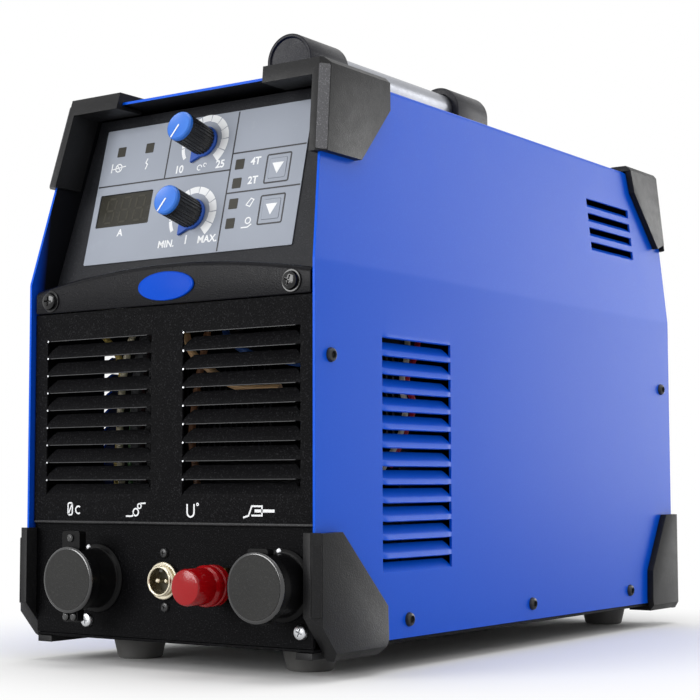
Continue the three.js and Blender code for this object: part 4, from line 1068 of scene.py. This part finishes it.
# ---- Display ----
# A smoked window lies flush in the film over a readout of three figures. The unlit segments of the
# figures show faintly through it.
smoked = finish(
    "smoked", [(42, 41, 35), (50, 48, 41)], (0.2, 0.3), (3.0, 0.01),
    patches=30, scuff=0.06, spec=0.25)
segment = finish(
    "segment", [(55, 53, 45), (62, 60, 51)], (0.3, 0.4), (0.5, 0.01),
    patches=60, spec=0.2)
WINDOW = rounded_box(-82.2, -38.8, 38, 59.7, 0.7)
FIGURES, MIDDLE, SLANT = (-72.5, -60.5, -48.5), 48.9, 0.1
build(
    "display_window", [(plate, WINDOW, -9, 0.2, on_fascia())], smoked, "case", "display_smoked",
    "display_module", edge=0.2)
bm = bmesh.new()
on_window = on_fascia(out=0.2)
for x in FIGURES:
    bars = [[(x + end + (z - MIDDLE) * SLANT, z) for end in (-2.6, 2.6)] for z in (57, MIDDLE, 40.8)]
    for side in (-3.4, 3.4):
        for ends in ((49.8, 56), (41.8, 48)):
            bars.append([(x + side + (z - MIDDLE) * SLANT, z) for z in ends])
    for bar in bars:
        stroke(bm, bar, 1.3, on_window, high=0.08)
fit(new_piece("display_segments", bm), segment, "case", "display_smoked")

# ---- Push buttons ----
# Two square moulded keys stand a little proud in printed frames and press in 1 mm. Each carries a white
# printed triangle that points down.
key_grey = finish(
    "key_grey", [(152, 158, 169), (162, 168, 180)], (0.38, 0.48), (0.5, 0.006),
    patches=20, scuff=0.1, spec=0.16)
for use, v in BUTTON_ROWS.items():
    body = f"button_{use}"
    key = on_fascia(BUTTON_X, v)
    keycap = [
        (plate, rounded_box(-6.3, 6.3, -6.3, 6.3, 1), -3, 1, key),
        (plate, rounded_box(-7.5, 7.5, -7.5, 7.5, 0.6), -4.2, -2.7, key)]
    build(body + "_key", keycap, key_grey, body, "overlay_film", body, edge=0.15)
    triangle = [(0, -3.7), (4.2, 3.4), (-4.2, 3.4)]
    build(body + "_mark", [(plate, triangle, 1, 1.12, key)], print_white, body, "overlay_film")

# ---- Knobs ----
# Ribbed black bodies on a blue skirt with a pointed nose, under a light blue cap with a white pointer.
# Each turns with the steel shaft of the control behind it.
KNOB_REST = -31
rib_black = finish("rib_black", [(18, 18, 19), (27, 27, 29)], (0.2, 0.3), (0.5, 0.02), patches=60)
cap_blue = finish("cap_blue", [(34, 104, 202), (46, 116, 212)], (0.3, 0.4), (0.9, 0.01), patches=50)
skirt_blue = finish("skirt_blue", [(4, 70, 164), (12, 80, 180)], (0.35, 0.45), (0.9, 0.01), patches=50)
ribs, given = start_tree("knob_ribs", Ribs=24, Radius=8.7, Rib=0.62, Low=3.4, High=24.4, Core=True)
tall = given["High"] - given["Low"]
middle = vector(ribs, z=(given["High"] + given["Low"]) * 0.5)
round_about = shape(ribs, "MeshCircle", {"Vertices": given["Ribs"], "Radius": given["Radius"]})
rib = shape(ribs, "MeshCylinder", {"Vertices": 8, "Radius": given["Rib"], "Depth": tall})
raised = shape(ribs, "Transform", {0: rib, "Translation": middle})
standing = shape(ribs, "InstanceOnPoints", {0: round_about, "Instance": raised})
core = shape(ribs, "MeshCylinder", {"Vertices": 48, "Radius": given["Radius"], "Depth": tall})
lifted = shape(ribs, "Transform", {0: core, "Translation": middle})
filled = shape(ribs, "Switch", {0: given["Core"], "True": lifted}, input_type="GEOMETRY")
end_tree(ribs, [standing, filled], given)
steel = finish(
    "steel", [(170, 172, 176), (196, 198, 201)], (0.22, 0.38), (0.7, 0.02),
    metallic=1.0, patches=70)
SKIRT = [(5, 1.2), (10, 1.2), (10, 2.8), (9.4, 3.4), (5, 3.4), (5, 1.2)]
NOSE = [(-4.4, -8.6), (0, -15.4), (4.4, -8.6)]
KNOB_CAP = [(0, 24.2), (9.2, 24.2), (9.25, 25.6), (8.8, 26.5), (8, 27), (7.2, 26.8), (0, 26.6)]
for use, v in KNOB_ROWS.items():
    body = f"knob_{use}"
    here = on_fascia(KNOB_X, v)
    nose = here @ Matrix.Rotation(math.radians(KNOB_REST), 4, "Z")
    planted(body + "_grip", ribs, here, rib_black, body, "bezel_black", body, edge=0.15)
    skirt = [(turned, SKIRT, here), (plate, NOSE, 1.2, 3.2, nose)]
    build(body + "_skirt", skirt, skirt_blue, body, "bezel_black", edge=0.3)
    build(body + "_cap", [(turned, KNOB_CAP, here, 64)], cap_blue, body, "bezel_black")
    pointer = [(stroke, [(0, 0.6), (0, -8.7)], 0.95, nose, 26.4, 27.05)]
    build(body + "_pointer", pointer, print_white, body, "overlay_film")
    keep(f"shaft_{use}", steel)
    keep(f"potentiometer_{use}", steel)

# ---- Corner bumpers ----
# Eight clips of grey textured plastic grip the cover's corners. The lower front ones carry a raised pad on
# their chamfer, and the upper front ones a thin strip in a paler, speckled grey: a painted highlight for
# light glinting along that chamfer.
bumper_grey = finish(
    "bumper_grey", [(24, 24, 25), (32, 32, 33)], (0.36, 0.48), (0.8, 0.12),
    patches=16, scuff=0.08, painted_sparkle=0.2, spec=0.17)
for end in ("front", "rear"):
    for level_name in ("top", "bottom"):
        for side in ("left", "right"):
            softened(f"bumper_{end}_{level_name}_{side}", 1.0, bumper_grey, "bumper_grey")

# Painted highlight: a paler, speckled grey that stands in for light glinting off the upper front chamfers.
painted_glint_grey = finish(
    "painted_glint_grey", [(56, 56, 59), (74, 74, 78)], (0.3, 0.42), (0.8, 0.24),
    patches=40, painted_sparkle=0.7, spec=0.6)
PAD = {"x": 112.5, "y": -2.3, "half": 2.8, "low": 17.5, "high": 57.4}
STRIP = {"x": 105.8, "y": 11.9, "z": 276.8, "half": 3.3, "tall": 54.5, "proud": 0.45}
STRIP_IN, STRIP_BACK = 0.111, 0.227
pad_outline = rounded_box(-PAD["half"], PAD["half"], PAD["low"], PAD["high"], 1.2)
strip_outline = rounded_box(-STRIP["half"], STRIP["half"], 0.8, STRIP["tall"], 1)
for side, across in (("left", -1), ("right", 1)):
    facing = (across * math.sqrt(0.5), -math.sqrt(0.5), 0)
    pad = [(plate, pad_outline, -0.4, 0.7, seat(across * PAD["x"], PAD["y"], 0, facing))]
    build(f"bumper_pad_{side}", pad, bumper_grey, "case", "bumper_grey", edge=0.5)
for side, across in (("left", -1), ("right", 1)):
    run = Vector((-across * STRIP_IN, STRIP_BACK, 1))
    facing = Vector((across, -1, STRIP_IN + STRIP_BACK))
    on_corner = seat(across * STRIP["x"], STRIP["y"], STRIP["z"], facing, run)
    strip = [(plate, strip_outline, -0.5, STRIP["proud"], on_corner)]
    build(f"bumper_strip_{side}", strip, painted_glint_grey, "case", "bumper_grey", edge=0.3)

# ---- Handle ----
# A satin aluminium tube, brushed along its length, is held at each end in a moulded D-shaped block. The
# blocks are screwed to the cover's top.
brushed = finish(
    "brushed_aluminium", [(142, 144, 150), (160, 162, 168)], (0.3, 0.44), (0.5, 0.03),
    metallic=1.0, patches=30, along=(1, 0.04, 1))
block_black = finish(
    "block_black", [(22, 22, 26), (30, 30, 35)], (0.3, 0.42), (0.8, 0.12),
    patches=24, scuff=0.08, painted_sparkle=0.2, spec=0.18)
softened("handle_block_front", 1.2, block_black, "bezel_black", rounds=3, limit=40)
softened("handle_block_rear", 1.2, block_black, "bezel_black", rounds=3, limit=40)
TUBE = [(0, 0), (11.6, 0), (12.5, 0.9), (12.5, 199.6), (11.6, 200.5), (0, 200.5)]
along_top = seat(0, 137.5, 367.2, BACK)
build("handle_tube", [(turned, TUBE, along_top, 64)], brushed, "case", "bar_aluminium", "handle_bar")

# ---- Rear panel and fan ----
# A black steel panel closes the rear, held by cross-head screws. A moulded fan frame sits behind a round
# opening; its rotor has seven twisted, cambered blades on a hub.
REAR_FACE, FAN_UP, FAN_SCREW = 466.1, 112, 52.5
rear_seat = seat(0, REAR_FACE, 0, BACK)
keep("rear_panel", textured_black)
rear_holes = [(-99, 30), (99, 30), (-99, 186), (99, 186), (-40, 296), (40, 296)]
screws("rear_screws", cross_screw_head, rear_holes, rear_seat, black_screw, "screw_black")
fan_holes = [(x, FAN_UP + z) for x in (-FAN_SCREW, FAN_SCREW) for z in (-FAN_SCREW, FAN_SCREW)]
screws("fan_screws", cross_screw_head, fan_holes, rear_seat, zinc, "steel")
softened("fan_frame", 0.5, moulded_black, "bezel_black")

blades, given = start_tree(
    "fan_blades", Blades=7, Root=17.0, Tip=52.6, Chord=26.0, Pitch=0.82, Twist=0.34, Camber=2.6)
span = given["Tip"] - given["Root"]
blade = shape(blades, "MeshGrid", {0: span, 1: given["Chord"], 2: 13, 3: 9})
position = shape(blades, "InputPosition", {})
at_x, at_y = [made(blades, "ShaderNodeSeparateXYZ", {0: position}, axis) for axis in "XY"]
outward, across = at_x / span, at_y / given["Chord"]
bowed = (0.25 - across * across) * (given["Camber"] * 4.0)
turn = given["Pitch"] - outward * given["Twist"]
leaf_at = vector(blades, at_x + (given["Root"] + given["Tip"]) * 0.5, at_y, bowed)
shaped = shape(blades, "SetPosition", {0: blade, "Position": leaf_at})
lean_of = made(
    blades, "ShaderNodeVectorRotate", {"Vector": position, "Angle": turn}, rotation_type="X_AXIS")
pitched = shape(blades, "SetPosition", {0: shaped, "Position": lean_of})
middles = shape(blades, "MeshLine", {"Count": given["Blades"], "Offset": (0, 0, 0)})
about = vector(blades, z=shape(blades, "InputIndex", {}) * (2 * math.pi / given["Blades"]))
wheel = shape(blades, "InstanceOnPoints", {0: middles, "Instance": pitched, "Rotation": about})
end_tree(blades, [wheel], given)

ROTOR_DEPTH, ROTOR_Y = 24, 433.8
hub = seat(0, ROTOR_Y, FAN_UP, BACK)
HUB = [(0, 0), (18.4, 0), (19, 0.6), (19, 22.6), (17.8, 23.8), (14.4, 24), (13.6, 23.4), (0, 23.4)]
half_in = hub @ Matrix.Translation((0, 0, ROTOR_DEPTH / 2))
rotor = planted("fan_wheel", blades, half_in, moulded_black, "fan_rotor", "bezel_black", "fan_rotor")
give_thickness(rotor, 1.6, moulded_black)
build("fan_hub", [(turned, HUB, hub, 48)], moulded_black, "fan_rotor", "bezel_black")

# ---- Fan guard ----
# Concentric rings of bright steel wire are welded to four spokes and a small disc in the middle. The
# guard is screwed over the fan.
guard, given = start_tree("guard_wires", Rings=6, First=14.0, Step=9.0, Wire=1.1, Spokes=4)
order = shape(guard, "InputIndex", {})
hoop = shape(guard, "CurvePrimitiveCircle", {"Resolution": 72, "Radius": 1.0})
hoop_spots = shape(guard, "MeshLine", {"Count": given["Rings"], "Offset": (0, 0, 0)})
hoops = shape(guard, "InstanceOnPoints", {
    0: hoop_spots, "Instance": hoop, "Scale": given["First"] + order * given["Step"]})
hoop_lines = shape(guard, "RealizeInstances", {0: hoops})
wire_round = shape(guard, "CurvePrimitiveCircle", {"Resolution": 10, "Radius": given["Wire"]})
rings = shape(guard, "CurveToMesh", {0: hoop_lines, 1: wire_round})
reach = given["First"] + given["Step"] * 5.0
rod = shape(guard, "MeshCylinder", {"Vertices": 10, "Radius": given["Wire"], "Depth": reach})
rod_at = vector(guard, reach * 0.5, 0, -1.4)
laid = shape(guard, "Transform", {0: rod, "Rotation": (0, math.pi / 2, 0), "Translation": rod_at})
spoke_spots = shape(guard, "MeshLine", {"Count": given["Spokes"], "Offset": (0, 0, 0)})
spoke_turn = vector(guard, z=order * (2 * math.pi / given["Spokes"]) + math.pi / 4)
spokes = shape(guard, "InstanceOnPoints", {0: spoke_spots, "Instance": laid, "Rotation": spoke_turn})
end_tree(guard, [rings, spokes], given)
DISC = [(0, -1), (9.6, -1), (10, -0.6), (10, 0.6), (9.4, 1.1), (0, 1.1)]
guard_seat = seat(0, REAR_FACE + 2.6, FAN_UP, BACK)
planted("guard_wires", guard, guard_seat, zinc, "case", "steel", "fan_guard")
build("guard_disc", [(turned, DISC, guard_seat, 40)], zinc, "case", "steel")

# ---- Switch, cord gland and gas inlet ----
# A rocker with its two marks in a framed housing, a moulded gland with a ribbed nut for the mains cord,
# and a brass barb on a hexagon for the gas. All three sit in holes in the rear panel.
softened("switch_housing", 0.5, moulded_black, "bezel_black")
softened("switch_rocker", 0.5, gloss_black, "bezel_black")
gland = seat(76, REAR_FACE + 0.3, 252, BACK)
GLAND_NUT = [(5.7, 0.1), (13, 0.1), (13, 5.4), (12.2, 6), (5.7, 6), (5.7, 0.1)]
GLAND_NECK = [
    (5.7, 6), (10.2, 6), (10.2, 13.4), (9.8, 15), (8.8, 19.6), (8, 23.2), (7.2, 24), (6.2, 24), (5.7, 23.4),
    (5.7, 6)]
GLAND_ROOT = [(0, -9.8), (7.8, -9.8), (7.8, 0), (5.8, 0), (5.8, -3), (0, -3)]
gland_shapes = [
    (turned, GLAND_NUT, gland, 6), (turned, GLAND_NECK, gland, 48), (turned, GLAND_ROOT, gland, 32)]
build("gland_body", gland_shapes, moulded_black, "case", "bezel_black", "cable_gland", edge=0.3)
planted(
    "gland_ribs", ribs, gland, moulded_black, "case", "bezel_black",
    Ribs=18, Radius=9.8, Rib=0.7, Low=7.0, High=13.2, Core=False)

barbs = sum([[(5, 14 + 5 * k), (4.1, 18.7 + 5 * k)] for k in range(3)], [])
INLET_HEXAGON = [(1.8, 0), (9.5, 0), (9.5, 6.4), (8.8, 7), (1.8, 7), (1.8, 0)]
INLET_BARB = [(1.8, 7), (4.2, 7), (4.2, 13.8), *barbs, (3.6, 28.9), (1.8, 28.9), (1.8, 7)]
INLET_ROOT = [(0, -33.6), (6, -33.6), (6, -0.1), (0, -0.1)]
inlet = seat(-78, REAR_FACE + 0.3, 48, BACK)
inlet_shapes = [
    (turned, INLET_HEXAGON, inlet, 6), (turned, INLET_BARB, inlet, 40), (turned, INLET_ROOT, inlet, 32)]
build("inlet_barb", inlet_shapes, brass, "case", "brass", "gas_inlet", edge=0.2)

# ---- Inside the case: boards and cooling ----
# The control board stands behind the fascia. The power board carries two capacitors, the rectifier and
# rows of small parts, and lies on two finned aluminium heatsinks that stand on the pan.
board_green = finish("board_green", [(22, 74, 44), (34, 96, 58)], (0.35, 0.5), (0.6, 0.05), patches=60)
capacitor_sleeve = finish(
    "capacitor_sleeve", [(24, 26, 34), (34, 36, 46)], (0.25, 0.4), (0.8, 0.02),
    patches=60)
ferrite = finish("ferrite", [(44, 45, 50), (60, 61, 66)], (0.5, 0.7), (0.6, 0.1), patches=60)
chip_black = finish("chip_black", [(30, 31, 34), (42, 43, 47)], (0.4, 0.55), (0.6, 0.03), patches=60)
part_tan = finish("part_tan", [(178, 150, 104), (200, 172, 126)], (0.4, 0.55), (0.6, 0.03), patches=60)
keep("control_board", board_green)
keep("power_board", board_green)
keep("rectifier", ferrite)
for side in ("left", "right"):
    softened(f"capacitor_{side}", 0.8, capacitor_sleeve, "display_smoked")

fibre_paper = finish("fibre_paper", [(20, 20, 21), (28, 28, 29)], (0.6, 0.75), (0.9, 0.03), patches=40)
sheet = [(plate, rounded_box(SIDE_FROM + 10, 330, 34, 178, 3), 0, 0.5, seat(-102.6, 0, 0, RIGHT))]
build("insulating_sheet", sheet, fibre_paper, "case", "display_smoked")

scatter, given = start_tree(
    "small_parts", Width=40.0, Length=120.0, Across=6, Along=16, Share=0.5, Least=2.0, Most=5.0, Seed=1)
spread = shape(scatter, "MeshGrid", {
    0: given["Width"], 1: given["Length"], 2: given["Across"], 3: given["Along"]})
chosen = made(scatter, "FunctionNodeRandomValue", {
    "Probability": given["Share"], "Seed": given["Seed"]}, 3, data_type="BOOLEAN")
sizes = made(scatter, "FunctionNodeRandomValue", {
    2: given["Least"], 3: given["Most"], "Seed": given["Seed"]}, 1, data_type="FLOAT")
block = shape(scatter, "MeshCube", {"Size": (1, 1.3, 0.8)})
raised = shape(scatter, "Transform", {0: block, "Translation": (0, 0, 0.42)})
placed = shape(scatter, "InstanceOnPoints", {
    0: spread, "Selection": chosen, "Instance": raised, "Scale": sizes})
end_tree(scatter, [placed], given)
PART_KINDS = [("chips", chip_black, 3, 3.0, 6.0), ("resistors", part_tan, 8, 1.6, 3.2)]
for name, material, seed, least, most in PART_KINDS:
    for side, x in (("left", -68), ("right", 70)):
        on_board = seat(x, 262, 182.7, UP, BACK)
        planted(
            f"board_{name}_{side}", scatter, on_board, material, "case", "display_smoked",
            Seed=seed + x, Least=least, Most=most, Share=0.4)

cooler, given = start_tree(
    "cooling_fins", Fins=17, Width=76.0, Length=210.0, Height=60.0, Base=8.0, Thickness=1.6)
fin_size = vector(cooler, given["Thickness"], given["Length"], given["Height"])
fin = shape(cooler, "MeshCube", {"Size": fin_size})
fin_hang = vector(cooler, z=(given["Height"] + given["Base"]) * -0.5)
hung = shape(cooler, "Transform", {0: fin, "Translation": fin_hang})
inner_width = given["Width"] - given["Thickness"]
fin_start = vector(cooler, inner_width * -0.5)
fin_step = vector(cooler, inner_width / (given["Fins"] - 1.0))
fin_line = shape(cooler, "MeshLine", {
    "Count": given["Fins"], "Start Location": fin_start, "Offset": fin_step})
comb = shape(cooler, "InstanceOnPoints", {0: fin_line, "Instance": hung})
slab = shape(cooler, "MeshCube", {"Size": vector(cooler, given["Width"], given["Length"], given["Base"])})
end_tree(cooler, [comb, slab], given)
dull_aluminium = finish(
    "dull_aluminium", [(48, 49, 52), (64, 65, 69)], (0.4, 0.55), (0.5, 0.03),
    metallic=1.0, patches=40, along=(1, 0.06, 1))
FOOT_PLATE = [(-0.8, 0.2), (0.8, 0.2), (0.8, 173), (-0.8, 173)]
for side, x in (("left", -50), ("right", 50)):
    heatsink = f"heatsink_{side}"
    under = seat(x, 225, 176, UP, BACK)
    planted(f"heatsink_fins_{side}", cooler, under, dull_aluminium, "case", "bar_aluminium", heatsink)
    foot = [(plate, FOOT_PLATE, -330, -120, seat(math.copysign(87.2, x), 0, 0, FRONT))]
    build(f"heatsink_foot_{side}", foot, dull_aluminium, "case", "bar_aluminium")

# ---- Inside the case: coils, gas valve and wiring ----
# A shell-type transformer and a ring choke are wound with enamelled copper. A brass valve feeds the
# torch through a rubber hose, and a loom of coloured wires drops from the control board.
keep("transformer", ferrite)
copper = finish(
    "copper", [(176, 104, 58), (204, 130, 80)], (0.25, 0.4), (0.8, 0.06),
    metallic=1.0, patches=60)
hose_black = finish("hose_black", [(24, 24, 26), (36, 36, 38)], (0.5, 0.65), (0.7, 0.04), patches=60)
keep("solenoid_valve", brass)
keep("gas_hose", hose_black)

winder, given = start_tree("ring_winding", Turns=44, Radius=24.0, Width=19.0, Height=25.4, Wire=1.5)
loop = shape(winder, "CurvePrimitiveQuadrilateral", {0: given["Width"], 1: given["Height"]})
eased = shape(winder, "FilletCurve", {0: loop, "Radius": 3.0, "Count": 4}, mode="POLY")
upright_loop = shape(winder, "Transform", {0: eased, "Rotation": (math.pi / 2, 0, 0)})
stations = shape(winder, "MeshLine", {"Count": given["Turns"], "Offset": (0, 0, 0)})
turn_at = shape(winder, "InputIndex", {}) * (2 * math.pi / given["Turns"])
out_x, out_y = [reckon(winder, wave, turn_at) * given["Radius"] for wave in ("COSINE", "SINE")]
spots = shape(winder, "SetPosition", {0: stations, "Position": vector(winder, out_x, out_y)})
loops_at = shape(winder, "InstanceOnPoints", {
    0: spots, "Instance": upright_loop, "Rotation": vector(winder, z=turn_at)})
loop_lines = shape(winder, "RealizeInstances", {0: loops_at})
wire_end = shape(winder, "CurvePrimitiveCircle", {"Resolution": 8, "Radius": given["Wire"]})
wound = shape(winder, "CurveToMesh", {0: loop_lines, 1: wire_end})
end_tree(winder, [wound], given)
CORE = [(16.6, -10.4), (31.4, -10.4), (31.4, 10.4), (16.6, 10.4), (16.6, -10.4)]
choke_seat = seat(30, 310, 13, UP, BACK)
planted(
    "choke_winding", winder, choke_seat, copper, "case", "copper", "output_choke",
    Height=22.8, Width=17.0)
build("choke_core", [(turned, CORE, choke_seat, 48)], ferrite, "case", "copper")

wirer, given = start_tree("wire_run", Radius=2.0)
dots = shape(wirer, "MeshToPoints", {0: given["Geometry"]})
path = shape(wirer, "PointsToCurves", {0: dots})
smooth = shape(wirer, "CurveSplineType", {0: path}, spline_type="CATMULL_ROM")
even = shape(wirer, "ResampleCurve", {0: smooth, "Count": 40})
round_end = shape(wirer, "CurvePrimitiveCircle", {"Resolution": 10, "Radius": given["Radius"]})
skin = shape(wirer, "CurveToMesh", {0: even, 1: round_end, "Fill Caps": True})
end_tree(wirer, [skin], given)
WIRES = {
    "yellow": ((216, 190, 104), 2.2, [
        (-92, 42, 188), (-83, 42, 181), (-73, 44, 164), (-74, 44, 128), (-76, 44, 92), (-66, 40, 62)]),
    "cream": ((224, 214, 186), 2.2, [
        (-60, 50, 205), (-69, 44, 168), (-72, 42, 128), (-70, 42, 90), (-58, 36, 62)]),
    "green": ((66, 116, 62), 2.2, [
        (-54, 52, 205), (-62, 47, 165), (-64, 45, 125), (-62, 42, 90), (-50, 38, 62)]),
    "grey": ((58, 59, 62), 4.4, [
        (-48, 50, 205), (-55, 43, 168), (-57, 41, 126), (-54, 41, 92), (-44, 35, 62)]),
    "red": ((170, 34, 30), 2.0, [
        (-42, 54, 205), (-49, 48, 168), (-50, 45, 126), (-47, 45, 92), (-40, 38, 62)]),
    "black": ((30, 30, 33), 5.0, [
        (-36, 50, 205), (-41, 43, 168), (-43, 40, 126), (-40, 40, 92), (-34, 34, 62)]),
    "tan": ((226, 182, 132), 2.4, [
        (-20, 42, 190), (-14, 38, 180), (-6, 34, 169), (10, 32, 158), (31, 31, 147.5), (62, 32, 145.5)]),
    "brown": ((128, 84, 50), 2.2, [
        (-4, 52, 205), (-12, 46, 150), (-13, 42, 120), (-10, 42, 100), (-4, 40, 70)]),
    "crimson": ((176, 20, 34), 2.0, [
        (94, 132, 180), (97, 121, 166), (97, 113, 152), (98, 119, 138), (97, 112, 122), (90, 104, 100)]),
    "white": ((206, 200, 184), 1.8, [
        (92, 122, 180), (97, 113, 166), (97, 107, 150), (98, 110, 136), (96, 106, 118), (90, 96, 98)]),
    "blue": ((40, 80, 150), 2.2, [
        (14, 52, 205), (10, 46, 182), (30, 44, 168), (56, 50, 162), (78, 70, 158)]),
}
for tint, (tone, radius, points) in WIRES.items():
    tones = [tone, [min(255, part + 12) for part in tone]]
    jacket = finish(f"wire_{tint}", tones, (0.35, 0.45), (0.8, 0.01), patches=50)
    planted(
        f"wire_{tint}", wirer, seat(0, 0, 0, UP, BACK), jacket, "case", "rubber_black",
        points=points, Radius=radius)
